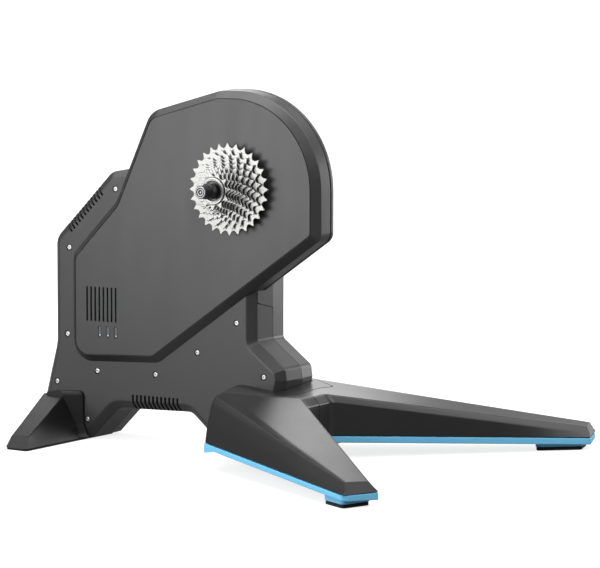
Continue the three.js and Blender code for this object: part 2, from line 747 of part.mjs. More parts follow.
function mainFrame() {
  const corners = frameOutlineShares.map(([x, z]) => [bodyX(x), bodyZ(z), FRAME_EDGE_RADIUS]);
  const plate = stacked(corners, [[FRAME_Y, 0], [FRAME_BACK_Y, 0]]);
  const beltMiddle = BELT_Y + BELT_WIDTH / 2;
  const axleBossEnd = FRAME_BACK_Y + AXLE_BOSS_LENGTH;
  const shaftBossEnd = FRAME_BACK_Y + SHAFT_BOSS_LENGTH;
  const bossHoles = screwPlaces.map(([x, z]) => (
    disc(BOSS_RADIUS + SEAT_GAP, 0, BODY_FAR_Y, x, z)
  ));
  const seat = SHAFT_BEARING_RADIUS + SEAT_GAP;
  const seatDepth = SHAFT_BEARING_WIDTH + BEARING_LIP;
  return joined([
    plate,
    disc(FRAME_HEAD_RADIUS, FRAME_Y, FRAME_BACK_Y, 0, AXLE_HEIGHT),
    disc(AXLE_BOSS_RADIUS, FRAME_Y, axleBossEnd, 0, AXLE_HEIGHT),
    disc(SHAFT_BOSS_RADIUS, FRAME_Y, shaftBossEnd, flywheelX, flywheelZ),
    disc(PIN_RADIUS, beltMiddle - BELT_WIDTH / 2, FRAME_BACK_Y, idlerX, idlerZ),
    ...standoffPlaces.map(([x, z]) => (
      disc(STANDOFF_RADIUS, FRAME_Y - STANDOFF_LENGTH, FRAME_BACK_Y, x, z)
    )),
  ])
    .subtract(joined([
      ...bossHoles,
      disc(AXLE_RADIUS + SEAT_GAP, 0, BODY_FAR_Y, 0, AXLE_HEIGHT),
      disc(SHAFT_RADIUS + RUN_GAP, 0, BODY_FAR_Y, flywheelX, flywheelZ),
      disc(seat, 0, FRAME_Y + seatDepth, flywheelX, flywheelZ),
      disc(seat, shaftBossEnd - seatDepth, BODY_FAR_Y, flywheelX, flywheelZ),
    ]));
}

// Axle line pieces, centred on the axle
const lockringY = LARGEST_SPROCKET_Y - 9 * SPROCKET_PITCH - SPROCKET_THICKNESS / 2;
const capStartY = lockringY - SEAT_GAP;
const axleBoreRadius = AXLE_RADIUS + SEAT_GAP;
const axleNearY = capStartY - SOCKET_DEPTH;
const farCapY = FRAME_BACK_Y + AXLE_BOSS_LENGTH + SEAT_GAP;
const axleFarY = farCapY + SOCKET_DEPTH / 2;

const axle = () => disc(AXLE_RADIUS, axleNearY, axleFarY, 0, AXLE_HEIGHT);

function driveEndCap() {
  const start = lockringY - LOCKRING_THICKNESS / 2;
  const collarEnd = start - COLLAR_LENGTH;
  const noseEnd = collarEnd - NOSE_LENGTH;
  return turned([
    [0, noseEnd],
    [NOSE_RADIUS - NOSE_CHAMFER, noseEnd],
    [NOSE_RADIUS, noseEnd + NOSE_CHAMFER],
    [NOSE_RADIUS, collarEnd],
    [COLLAR_RADIUS, collarEnd],
    [COLLAR_RADIUS, start],
    [axleBoreRadius, start],
    [axleBoreRadius, axleNearY - SEAT_GAP],
    [0, axleNearY - SEAT_GAP],
  ], 0, AXLE_HEIGHT);
}

function farEndCap() {
  const collarEnd = farCapY + FAR_COLLAR_LENGTH;
  const noseEnd = collarEnd + FAR_NOSE_LENGTH;
  return turned([
    [0, axleFarY + SEAT_GAP],
    [axleBoreRadius, axleFarY + SEAT_GAP],
    [axleBoreRadius, farCapY],
    [COLLAR_RADIUS, farCapY],
    [COLLAR_RADIUS, collarEnd],
    [NOSE_RADIUS, collarEnd],
    [NOSE_RADIUS, noseEnd],
    [0, noseEnd],
  ], 0, AXLE_HEIGHT);
}

const freehubBody = () => ring(
  axleBoreRadius,
  FREEHUB_RADIUS,
  FREEHUB_END_Y - FREEHUB_LENGTH,
  FREEHUB_END_Y,
  0,
  AXLE_HEIGHT,
);

// One sprocket: a toothed disc with its spacer ring on the inner side
function sprocket(teeth, place) {
  const pitchRadius = CHAIN_PITCH / 2 / Math.sin(Math.PI / teeth);
  const tip = pitchRadius + TOOTH_RISE;
  const root = pitchRadius - TOOTH_DEPTH;
  const toothShares = [[0, 0], [0.36, 1], [0.52, 1]];
  const loop = [];
  for (let i = 0; i < teeth; i += 1) {
    toothShares.forEach(([turn, rise]) => {
      const angle = 2 * Math.PI * (i + turn) / teeth;
      const radius = root + rise * (tip - root);
      loop.push(new THREE.Vector2(radius * Math.cos(angle), radius * Math.sin(angle)));
    });
  }
  const y0 = LARGEST_SPROCKET_Y - place * SPROCKET_PITCH - SPROCKET_THICKNESS / 2;
  const y1 = y0 + SPROCKET_THICKNESS;
  const toothed = loft([y0, y1].map((y) => (
    loop.map((point) => new THREE.Vector3(point.x, y, AXLE_HEIGHT + point.y))
  )));
  const bore = FREEHUB_RADIUS + SEAT_GAP;
  const spacerEnd = y0 + SPROCKET_PITCH - SEAT_GAP;
  const spacerRadius = Math.min(bore + SPACER_WALL, root - SEAT_GAP);
  return toothed
    .add(disc(spacerRadius, y0, spacerEnd, 0, AXLE_HEIGHT))
    .subtract(disc(bore, y0 - OVERRUN, spacerEnd + OVERRUN, 0, AXLE_HEIGHT));
}

const lockring = () => ring(
  LOCKRING_BORE,
  LOCKRING_RADIUS,
  lockringY - LOCKRING_THICKNESS,
  lockringY - SEAT_GAP,
  0,
  AXLE_HEIGHT,
);

const hubBearing = (y) => ring(
  axleBoreRadius,
  HUB_BEARING_RADIUS,
  y,
  y + HUB_BEARING_WIDTH,
  0,
  AXLE_HEIGHT,
);

function drivePulley() {
  const seat = HUB_BEARING_RADIUS + SEAT_GAP;
  const hubEnd = DRIVE_HUB_Y + DRIVE_HUB_LENGTH;
  const webY = BELT_Y + (BELT_WIDTH - PULLEY_WEB) / 2;
  return turned([
    [seat, DRIVE_HUB_Y],
    [DRIVE_HUB_RADIUS, DRIVE_HUB_Y],
    [DRIVE_HUB_RADIUS, webY],
    [DRIVE_PULLEY_RADIUS - PULLEY_RIM, webY],
    [DRIVE_PULLEY_RADIUS - PULLEY_RIM, BELT_Y],
    [DRIVE_PULLEY_RADIUS, BELT_Y],
    [DRIVE_PULLEY_RADIUS, BELT_Y + BELT_WIDTH],
    [DRIVE_PULLEY_RADIUS - PULLEY_RIM, BELT_Y + BELT_WIDTH],
    [DRIVE_PULLEY_RADIUS - PULLEY_RIM, webY + PULLEY_WEB],
    [DRIVE_HUB_RADIUS, webY + PULLEY_WEB],
    [DRIVE_HUB_RADIUS, hubEnd],
    [seat, hubEnd],
    [seat, DRIVE_HUB_Y],
  ], 0, AXLE_HEIGHT);
}

// Belt: the outline round both pulleys, as tangent arcs
function beltLoop(extra) {
  const far = new THREE.Vector2(flywheelX, flywheelZ - AXLE_HEIGHT);
  const heading = far.angle();
  const open = Math.acos((DRIVE_PULLEY_RADIUS - SMALL_PULLEY_RADIUS) / far.length());
  const loop = [];
  const arc = (centre, radius, from, to) => {
    const steps = Math.ceil(sidesOf(radius) * Math.abs(to - from) / (2 * Math.PI));
    for (let i = 0; i <= steps; i += 1) {
      const angle = from + (to - from) * i / steps;
      loop.push(new THREE.Vector2(
        centre.x + radius * Math.cos(angle),
        centre.y + radius * Math.sin(angle),
      ));
    }
  };
  arc(new THREE.Vector2(), DRIVE_PULLEY_RADIUS + extra, heading + open, heading + 2 * Math.PI - open);
  arc(far, SMALL_PULLEY_RADIUS + extra, heading - open, heading + open);
  return loop;
}

function belt() {
  const band = (extra, y0, y1) => loft([y0, y1].map((y) => (
    beltLoop(extra).map((point) => new THREE.Vector3(point.x, y, AXLE_HEIGHT + point.y))
  )));
  const inner = band(SEAT_GAP, BELT_Y - OVERRUN, BELT_Y + BELT_WIDTH + OVERRUN);
  return band(BELT_THICKNESS, BELT_Y + SEAT_GAP, BELT_Y + BELT_WIDTH - SEAT_GAP).subtract(inner);
}

const idlerPulley = () => ring(
  PIN_RADIUS + SEAT_GAP,
  IDLER_RADIUS,
  BELT_Y,
  BELT_Y + BELT_WIDTH,
  idlerX,
  idlerZ,
);

const smallPulley = () => ring(
  SHAFT_RADIUS + SEAT_GAP,
  SMALL_PULLEY_RADIUS,
  BELT_Y,
  BELT_Y + BELT_WIDTH,
  flywheelX,
  flywheelZ,
);

const flywheelShaft = () => disc(
  SHAFT_RADIUS,
  BELT_Y,
  FLYWHEEL_Y + FLYWHEEL_WIDTH,
  flywheelX,
  flywheelZ,
);

const shaftBearing = (y) => ring(
  SHAFT_RADIUS + SEAT_GAP,
  SHAFT_BEARING_RADIUS,
  y,
  y + SHAFT_BEARING_WIDTH,
  flywheelX,
  flywheelZ,
);

function flywheel() {
  const bore = SHAFT_RADIUS + SEAT_GAP;
  const rimRadius = FLYWHEEL_RADIUS - FLYWHEEL_RIM;
  const webY = FLYWHEEL_Y + (FLYWHEEL_WIDTH - FLYWHEEL_WEB) / 2;
  const webEnd = webY + FLYWHEEL_WEB;
  const end = FLYWHEEL_Y + FLYWHEEL_WIDTH;
  return turned([
    [bore, FLYWHEEL_Y],
    [FLYWHEEL_HUB_RADIUS, FLYWHEEL_Y],
    [FLYWHEEL_HUB_RADIUS, webY],
    [rimRadius, webY],
    [rimRadius, FLYWHEEL_Y],
    [FLYWHEEL_RADIUS, FLYWHEEL_Y],
    [FLYWHEEL_RADIUS, end],
    [rimRadius, end],
    [rimRadius, webEnd],
    [FLYWHEEL_HUB_RADIUS, webEnd],
    [FLYWHEEL_HUB_RADIUS, end],
    [bore, end],
    [bore, FLYWHEEL_Y],
  ], flywheelX, flywheelZ);
}

// Brake: cores on a plate round the shaft boss, a coil on each core
const brakePlateY = FRAME_BACK_Y + SEAT_GAP;
const brakePlateEndY = brakePlateY + BRAKE_PLATE_THICKNESS;
const coilPlaces = Array.from({ length: COIL_COUNT }, (_, i) => {
  const angle = 2 * Math.PI * (i + 0.5) / COIL_COUNT;
  return [
    flywheelX + COIL_CIRCLE_RADIUS * Math.cos(angle),
    flywheelZ + COIL_CIRCLE_RADIUS * Math.sin(angle),
  ];
});

function brakePlate() {
  const cores = coilPlaces.map(([x, z]) => (
    disc(CORE_RADIUS, brakePlateY, brakePlateEndY + COIL_LENGTH, x, z)
  ));
  const plate = ring(
    SHAFT_BOSS_RADIUS + SEAT_GAP,
    BRAKE_PLATE_RADIUS,
    brakePlateY,
    brakePlateEndY,
    flywheelX,
    flywheelZ,
  );
  return joined([plate, ...cores]);
}

const brakeCoil = ([x, z]) => ring(
  CORE_RADIUS + SEAT_GAP,
  COIL_RADIUS,
  brakePlateEndY + SEAT_GAP,
  brakePlateEndY + COIL_LENGTH,
  x,
  z,
);

function controlBoard() {
  const backY = FRAME_Y - STANDOFF_LENGTH - SEAT_GAP;
  const frontY = backY - BOARD_THICKNESS;
  const board = box(
    [boardX - BOARD_WIDTH / 2, boardX + BOARD_WIDTH / 2],
    [frontY, backY],
    [boardZ - BOARD_LENGTH / 2, boardZ + BOARD_LENGTH / 2],
  );
  const chips = [-1, 0, 1].map((row) => {
    const z = boardZ + row * 2 * CHIP_WIDTH;
    return box(
      [boardX - CHIP_WIDTH / 2, boardX + CHIP_WIDTH / 2],
      [frontY - CHIP_HEIGHT, backY],
      [z - CHIP_WIDTH / 2, z + CHIP_WIDTH / 2],
    );
  });
  return joined([board, ...chips]);
}

function powerInlet() {
  const end = BODY_FAR_Y - SEAT_GAP;
  const start = end - INLET_LENGTH;
  return turned([
    [0, start],
    [INLET_RADIUS, start],
    [INLET_RADIUS, end],
    [INLET_BORE, end],
    [INLET_BORE, end - INLET_DEPTH],
    [0, end - INLET_DEPTH],
  ], bodyX(inletPlaceShares[0]), bodyZ(inletPlaceShares[1]));
}

function bodyScrew([x, z]) {
  const headY = recessFloorY - SEAT_GAP - SCREW_HEAD_DEPTH;
  const shankY = recessFloorY - SEAT_GAP;
  return turned([
    [0, headY],
    [SCREW_HEAD_RADIUS, headY],
    [SCREW_HEAD_RADIUS, shankY],
    [SCREW_SHANK_RADIUS, shankY],
    [SCREW_SHANK_RADIUS, shankY + SCREW_LENGTH],
    [0, shankY + SCREW_LENGTH],
  ], x, z);
}

// Legs: x from the axle, the drive side leg has negative y, the far side leg is its mirror image
const baseTop = (x) => BASE_HUB_HEIGHT + (BASE_TIP_HEIGHT - BASE_HUB_HEIGHT) * x / FRONT_REACH;

function legSection(shares) {
  return shares.map(([x, y, z]) => new THREE.Vector3(
    x * FRONT_REACH,
    y * HALF_STANCE,
    z === 0 ? baseTop(x * FRONT_REACH) + SEAT_GAP : z * LEG_ROOT_HEIGHT,
  ));
}

const legSections = legSectionShares.map(legSection);

// The same section, drawn in by the wall and open at the foot
function hollowSection(section) {
  const centre = section.reduce((sum, point) => sum.add(point), new THREE.Vector3());
  centre.divideScalar(section.length);
  const last = section.length - 1;
  return section.map((point, i) => {
    const inward = centre.clone().sub(point);
    const moved = point.clone().addScaledVector(inward, LEG_WALL / inward.length() * Math.SQRT2);
    moved.z = i === 0 || i === last
      ? point.z - OVERRUN
      : Math.min(moved.z, point.z - LEG_TOP_WALL);
    return moved;
  });
}

const between = (first, second, share) => first.map((point, i) => point.clone().lerp(second[i], share));

function legBlank(seamY) {
  const [middle, root, tip] = legSections;
  return loft([middle.map((point) => point.clone().setY(seamY)), root, tip]);
}

function legHollow() {
  const [middle, root, tip] = legSections;
  return loft([
    hollowSection(between(middle, root, legHollowShares[0])),
    hollowSection(root),
    hollowSection(between(root, tip, legHollowShares[1])),
  ]);
}

const mirrored = (solid) => solid.mirror([0, 1, 0]);

function hubCoverRoom(grow) {
  const loop = hubCoverShares.map(([x, y]) => new THREE.Vector2(x * FRONT_REACH, y * HALF_STANCE));
  const centre = loop.reduce((sum, point) => sum.add(point), new THREE.Vector2());
  centre.divideScalar(loop.length);
  const grown = loop.map((point) => {
    const away = point.clone().sub(centre);
    return point.clone().addScaledVector(away, grow / away.length());
  });
  return loft([HUB_COVER_LOW, LEG_ROOT_HEIGHT].map((z) => grown.map((point) => new THREE.Vector3(point.x, point.y, z))));
}

const legOuter = legBlank(-SEAT_GAP / 2);
const legInner = legHollow();
const bothLegs = legBlank(SEAT_GAP / 2).add(mirrored(legBlank(SEAT_GAP / 2)));

function topSkin(room, depth) {
  return bothLegs.intersect(room).subtract(bothLegs.translate([0, 0, -depth]));
}

function leg(outer, inner) {
  const cover = topSkin(hubCoverRoom(SEAT_GAP), HUB_COVER_THICKNESS + SEAT_GAP);
  return outer.subtract(inner).subtract(cover);
}

const driveSideLeg = () => leg(legOuter, legInner);
const farSideLeg = () => leg(mirrored(legOuter), mirrored(legInner)).subtract(bodyRoom);
const hubCover = () => topSkin(hubCoverRoom(0), HUB_COVER_THICKNESS).subtract(bodyRoom);

function legPlan() {
  const [middle, root, tip] = legSections;
  const last = middle.length - 1;
  return [middle[0], root[0], tip[0], tip[last], root[last], middle[last]];
}

function footPadCorners() {
  return footPadShares.map(([x, y]) => [
    x * FRONT_REACH,
    y * HALF_STANCE,
    footPadRadiusShare * FRONT_REACH,
  ]);
}

function footBlock(inset, low, high) {
  const loop = roundedLoop(footPadCorners(), inset);
  return loft([low, high].map((z) => (
    loop.map((point) => new THREE.Vector3(point.x, point.y, typeof z === 'number' ? z : z(point.x)))
  )));
}

function legBase() {
  const plan = legPlan().map((point) => new THREE.Vector2(point.x, point.y));
  const centre = plan.reduce((sum, point) => sum.clone().add(point), new THREE.Vector2());
  centre.divideScalar(plan.length);
  const outline = plan.map((point) => {
    const away = point.clone().sub(centre).normalize();
    const grown = point.clone().addScaledVector(away, BASE_PROUD);
    return point.y === 0 ? new THREE.Vector2(grown.x, -SEAT_GAP / 2) : grown;
  });
  const layer = (drops) => outline.map((point, i) => (
    new THREE.Vector3(point.x, point.y, baseTop(point.x) - drops[i])
  ));
  const drops = [
    BASE_THICKNESS,
    BASE_RIM_THICKNESS,
    BASE_RIM_THICKNESS,
    BASE_THICKNESS,
    BASE_THICKNESS,
    BASE_THICKNESS,
  ];
  const plate = loft([layer(drops), layer(drops.map(() => 0))]);
  const block = footBlock(0, PAD_HEIGHT + SEAT_GAP, (x) => baseTop(x) - BASE_THICKNESS / 2);
  return joined([plate, block, heel(outline)]);
}

// Heel: a low wedge under the rear corner of the base
function heel(outline) {
  const corner = outline[1];
  const toMiddle = outline[0].clone().sub(corner).normalize();
  const toTip = outline[2].clone().sub(corner).normalize();
  const ends = [toMiddle, toTip].map((way) => corner.clone().addScaledVector(way, HEEL_LENGTH));
  const level = (point, drop) => new THREE.Vector3(point.x, point.y, baseTop(point.x) - drop);
  const half = BASE_THICKNESS / 2;
  const low = [corner, ends[1], ends[0]].map((point, i) => (
    level(point, BASE_RIM_THICKNESS + (i === 0 ? HEEL_DEPTH : 0))
  ));
  const high = [corner, ends[1], ends[0]].map((point) => level(point, half));
  return loft([low, high]);
}

// Hub under the body's front foot: it carries the foot and both bases
function legHub() {
  const low = FRONT_FOOT_HEIGHT - SEAT_GAP - HUB_THICKNESS;
  const rear = LEG_WALL;
  const plan = [[rear, -HUB_NEAR], [HUB_FRONT, -HUB_NEAR], [HUB_FRONT, HUB_FAR], [rear, HUB_FAR]];
  const top = (x) => baseTop(x) - BASE_THICKNESS - SEAT_GAP;
  const block = loft([
    plan.map(([x, y]) => new THREE.Vector3(x, y, low)),
    plan.map(([x, y]) => new THREE.Vector3(x, y, top(x))),
  ]);
  return block.subtract(bodyRoom);
}

// Rear foot: a wing on the drive side that widens towards the body
function rearFoot() {
  const rise = (share) => REAR_FOOT_HEIGHT + share * (FOOT_ROOT_HEIGHT - REAR_FOOT_HEIGHT);
  const sections = footSectionShares.map((section) => section.map(([x, y, z]) => (
    new THREE.Vector3(bodyX(x), y * FOOT_REACH, rise(z))
  )));
  const wing = loft(sections);
  const outline = roundedLoop(
    footFlangeShares.map(([x, z, r]) => [bodyX(x), rise(z), bodyX(r)]),
    0,
  );
  const rear = bodyX(footFlangeShares[0][0]);
  const layer = (y, share) => outline.map((point) => (
    new THREE.Vector3(rear + (point.x - rear) * share, y, point.y)
  ));
  const flange = loft([
    layer(FOOT_FLANGE_Y, FOOT_FLANGE_SLANT),
    layer(FOOT_FLANGE_EDGE_Y, 1),
    layer(PLATE_Y - SEAT_GAP, 1),
  ]);
  return wing.add(flange);
}

// Sole under the wing and the body's rear foot
function rearPad() {
  const plan = rearPadShares.map(([x, y]) => [bodyX(x), y * FOOT_REACH]);
  return loft([0, REAR_FOOT_HEIGHT - SEAT_GAP].map((z) => (
    plan.map(([x, y]) => new THREE.Vector3(x, y, z))
  )));
}

// Materials
const finish = (color, roughness, metalness) => (
  new THREE.MeshStandardMaterial({ color, roughness, metalness })
);
const shellGrey = finish('#57585c', 0.5, 0);
const coverGrey = finish('#66676b', 0.45, 0);
const darkGrey = finish('#2b2c2f', 0.5, 0);
const legGrey = finish('#4b4b4d', 0.35, 0.2);
const baseBlue = finish('#5fb9e2', 0.45, 0);
const rubber = finish('#161617', 0.9, 0);
const castMetal = finish('#8d8f92', 0.5, 0.8);
const steel = finish('#c9cbce', 0.25, 1);
const darkSteel = finish('#4a4b4e', 0.4, 0.9);
const blackMetal = finish('#1c1c1e', 0.4, 0.5);
const copper = finish('#b5713c', 0.4, 0.9);
const boardGreen = finish('#1f5a3a', 0.6, 0);
const clearLens = finish('#b9c4c9', 0.2, 0);

const trainer = new THREE.Group();
trainer.name = 'direct_drive_trainer';
const axleFrame = new THREE.Group();
axleFrame.position.set(AXLE_X, 0, 0);
trainer.add(axleFrame);

function addPart(name, solid, material) {
  const mesh = new THREE.Mesh(geometryOf(solid), material);
  mesh.name = name;
  axleFrame.add(mesh);
}

addPart('drive_side_shell', driveSideShell(), shellGrey);
addPart('far_side_shell', farSideShell(), shellGrey);
addPart('belt_cover', beltCover(), coverGrey);
addPart('cover_rim', coverRim(), coverGrey);
addPart('head_back_cover', headBack(), darkGrey);
addPart('light_guide', lightGuide(), clearLens);
addPart('main_frame', mainFrame(), castMetal);

addPart('axle', axle(), steel);
addPart('drive_end_cap', driveEndCap(), blackMetal);
addPart('far_end_cap', farEndCap(), blackMetal);
addPart('hub_bearing_drive', hubBearing(DRIVE_HUB_Y), steel);
addPart('hub_bearing_far', hubBearing(DRIVE_HUB_Y + DRIVE_HUB_LENGTH - HUB_BEARING_WIDTH), steel);
addPart('freehub_body', freehubBody(), darkSteel);
const sprocketTeeth = [28, 24, 21, 19, 17, 15, 14, 13, 12, 11];
sprocketTeeth.forEach((teeth, place) => {
  addPart(`sprocket_${teeth}`, sprocket(teeth, place), steel);
});
addPart('lockring', lockring(), steel);

addPart('drive_pulley', drivePulley(), castMetal);
addPart('drive_belt', belt(), rubber);
addPart('idler_pulley', idlerPulley(), darkSteel);
addPart('small_pulley', smallPulley(), castMetal);
addPart('flywheel', flywheel(), darkSteel);
addPart('flywheel_shaft', flywheelShaft(), steel);
addPart('flywheel_bearing_drive', shaftBearing(FRAME_Y + BEARING_LIP), steel);
addPart(
  'flywheel_bearing_far',
  shaftBearing(FRAME_BACK_Y + SHAFT_BOSS_LENGTH - BEARING_LIP - SHAFT_BEARING_WIDTH),
  steel,
);
addPart('brake_plate', brakePlate(), darkSteel);
coilPlaces.forEach((place, i) => {
  addPart(`brake_coil_${i + 1}`, brakeCoil(place), copper);
});
addPart('control_board', controlBoard(), boardGreen);
addPart('power_inlet', powerInlet(), blackMetal);
screwPlaces.forEach((place, i) => {
  addPart(`body_screw_${i + 1}`, bodyScrew(place), steel);
});

addPart('leg_hub', legHub(), castMetal);
addPart('hub_cover', hubCover(), legGrey);
addPart('drive_side_leg', driveSideLeg(), legGrey);
addPart('far_side_leg', farSideLeg(), legGrey);
addPart('drive_side_base', legBase(), baseBlue);
addPart('far_side_base', mirrored(legBase()).subtract(bodyRoom), baseBlue);
addPart('drive_side_pad', footBlock(PAD_INSET, 0, PAD_HEIGHT), rubber);
addPart('far_side_pad', mirrored(footBlock(PAD_INSET, 0, PAD_HEIGHT)), rubber);
addPart('rear_foot', rearFoot(), darkGrey);
addPart('rear_pad', rearPad(), rubber);

export default trainer;
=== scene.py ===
import json
import math

import bmesh
import bpy
import numpy as np
from mathutils import Matrix, Vector


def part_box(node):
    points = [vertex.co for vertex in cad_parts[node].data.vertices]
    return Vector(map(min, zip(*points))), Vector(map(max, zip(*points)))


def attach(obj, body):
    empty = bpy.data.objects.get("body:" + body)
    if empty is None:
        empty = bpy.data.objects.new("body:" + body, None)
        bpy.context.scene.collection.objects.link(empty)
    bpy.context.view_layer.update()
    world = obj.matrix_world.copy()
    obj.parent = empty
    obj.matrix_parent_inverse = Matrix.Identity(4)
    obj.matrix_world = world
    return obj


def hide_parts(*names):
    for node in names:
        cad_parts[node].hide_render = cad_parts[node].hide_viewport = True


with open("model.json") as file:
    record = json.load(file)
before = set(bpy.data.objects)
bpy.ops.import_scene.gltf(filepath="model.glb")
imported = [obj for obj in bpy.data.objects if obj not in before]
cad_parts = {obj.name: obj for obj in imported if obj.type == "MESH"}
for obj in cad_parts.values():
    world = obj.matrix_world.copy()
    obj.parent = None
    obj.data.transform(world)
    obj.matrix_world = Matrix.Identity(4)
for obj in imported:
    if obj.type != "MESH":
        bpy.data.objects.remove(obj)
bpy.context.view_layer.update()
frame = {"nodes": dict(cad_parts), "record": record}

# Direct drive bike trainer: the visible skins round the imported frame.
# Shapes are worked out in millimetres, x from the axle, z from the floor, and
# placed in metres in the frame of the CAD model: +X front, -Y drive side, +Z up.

METRE = 0.001
AXLE_X = -32.5
AXLE_HEIGHT = 338.7
AXLE_PLACE = (0, AXLE_HEIGHT)
REAR_REACH = 309.0
FRONT_REACH = 374.0
HALF_STANCE = 321.0

PLATE_Y = 12.0
BODY_FAR_Y = 97.0
SEAM_Y = 58.0
EDGE_CHAMFER = 10.0
SHELL_WALL = 3.0
WALL_BEND = math.tan(math.pi / 8)
SEAT_GAP = 0.3
SIDE_DRAFT = 1.6
SEAM_LINE = 0.8
FRONT_FOOT_HEIGHT = 21.0
REAR_FOOT_HEIGHT = 3.0
EDGE_FILLET = 2.2
LEG_GAP = 1.3
FAR_AWAY = 900.0
EVERYWHERE = (-FAR_AWAY, FAR_AWAY)
CUT, JOIN, KEEP_WITHIN = "DIFFERENCE", "UNION", "INTERSECT"
FLIPPED = (1, -1, 1)

HEAD_RADIUS = 125.0
COVER_FACE_Y = 2.0
COVER_SEAM_Y = 34.0
RIM_BACK_Y = 42.0
COVER_BORE_RADIUS = 18.7
BACK_BORE_RADIUS = 20.3
BELT_WINDOW_END, BELT_WINDOW_INSET = 47.5, 16.0
BEFORE_COVER, UNDER_COVER_FACE = -20.0, 11.0

CUP_WALL_RADIUS, CUP_RADIUS, CUP_DEPTH = 5.0, 4.35, 2.5
SCREW_HEAD_HEIGHT = 2.2
INLET_RADIUS = 8.0
# Vents: count, pitch, width and half length
BODY_VENTS = (12, 6.3, 3.0, 17.5)
COVER_VENTS = (8, 6.45, 2.6, 22.5)
LIGHT_PITCH, LIGHT_WIDTH, LIGHT_LENGTH, LIGHT_COUNT = 12.6, 5.0, 14.5, 3

# Outlines: x and corner radius as shares of the rear reach, z of the axle's height
BODY_SIZE = np.array([REAR_REACH, AXLE_HEIGHT, REAR_REACH])
TOWER_FRONT_SHARE = 0.0793
body_corners = BODY_SIZE * [
    (-1, -0.059, 0.013), (-0.816, -0.059, 0.013), (-0.615, 0.124, 0.065),
    (-0.249, 0.131, 0.049), (-0.010, -0.059, 0.013), (0.2071, -0.059, 0.013),
    (0.2071, 0.2268, 0.01), (0.2214, 0.2823, 0.012), (0.2142, 0.3295, 0.03),
    (TOWER_FRONT_SHARE, 0.425, 0.02), (TOWER_FRONT_SHARE, 0.709, 0.049), (-0.382, 1.083, 0.081),
    (-0.649, 1.046, 0.071), (-0.9385, 0.779, 0.081), (-0.9385, 0.369, 0.194),
    (-1, 0.151, 0.049),
]
ARCH_MIDDLE = -0.42 * REAR_REACH
cover_corners = np.array([
    (HEAD_RADIUS, 0.8217 * AXLE_HEIGHT, 0.13 * HEAD_RADIUS),
    (HEAD_RADIUS, AXLE_HEIGHT + HEAD_RADIUS, HEAD_RADIUS),
    (-0.08 * REAR_REACH, AXLE_HEIGHT + HEAD_RADIUS, 0.48 * HEAD_RADIUS),
    (-0.431 * REAR_REACH, AXLE_HEIGHT + 0.76 * HEAD_RADIUS, 0.25 * HEAD_RADIUS),
    (-0.605 * REAR_REACH, 0.933 * AXLE_HEIGHT, 0.113 * REAR_REACH),
    (-0.8285 * REAR_REACH, 0.722 * AXLE_HEIGHT, 0.065 * REAR_REACH),
    (-0.8285 * REAR_REACH, 0.2997 * AXLE_HEIGHT, 0.097 * REAR_REACH),
    (-0.3896 * REAR_REACH, 0.3156 * AXLE_HEIGHT, 0.081 * REAR_REACH),
])
screw_places = BODY_SIZE[:2] * [
    (-0.609, 0.977), (-0.847, 0.743), (-0.858, 0.406), (-0.913, 0.218), (-0.7045, 0.270),
    (-0.409, 0.2725), (-0.199, 0.369), (-0.006, 0.491), (0.1265, 0.2935), (-0.7575, 0.0785),
]
cover_vent_place = BODY_SIZE[:2] * (-0.66, 0.533)
light_place = BODY_SIZE[:2] * (-0.6275, 0.4275)
slope_vent_place = BODY_SIZE[:2] * (-0.792, 0.914)
arch_vent_place = BODY_SIZE[:2] * (-0.411, 0.137)
inlet_place = BODY_SIZE[:2] * (-0.865, 0.31)
light_xs = light_place[0] + (np.arange(LIGHT_COUNT) - (LIGHT_COUNT - 1) / 2) * LIGHT_PITCH


# ---------------------------- surfaces

def unit(vectors):
    """Each vector over its own length."""
    return vectors / np.maximum(np.linalg.norm(vectors, axis=-1, keepdims=True), 1e-12)


def outline(corners, insets, arc=12, straight=2):
    """Rounded outline, once for each inset: a corner is an arc whose centre lies on the
    corner's bisector, its radius less the inset, and the edges between are straight."""
    points, wanted = corners[:, :2], corners[:, 2]
    insets = np.atleast_1d(np.asarray(insets, float))[:, None]
    after = unit(np.roll(points, -1, 0) - points)
    before = np.roll(after, 1, 0)
    turn = np.arctan2(
        before[:, 0] * after[:, 1] - before[:, 1] * after[:, 0], (before * after).sum(1)
    )
    side = np.sign(turn)
    radius = np.maximum(wanted - side * insets, 0.2)
    inward = np.stack([-before[:, 1], before[:, 0]], 1)
    bisector = unit(inward + np.stack([-after[:, 1], after[:, 0]], 1))
    reach = (insets + side * radius) / np.cos(turn / 2)
    centre = points + bisector * reach[..., None]
    start = np.arctan2(-side * inward[:, 1], -side * inward[:, 0])
    angle = start[:, None] + turn[:, None] * np.linspace(0, 1, arc + 1)
    ray = np.stack([np.cos(angle), np.sin(angle)], -1)
    loop = centre[:, :, None] + radius[:, :, None, None] * ray
    share = np.arange(1, straight + 1)[:, None] / (straight + 1)
    last, following = loop[:, :, -1:], np.roll(loop[:, :, :1], -1, 1)
    loop = np.concatenate([loop, last + (following - last) * share], 2)
    return loop.reshape(len(insets), -1, 2)


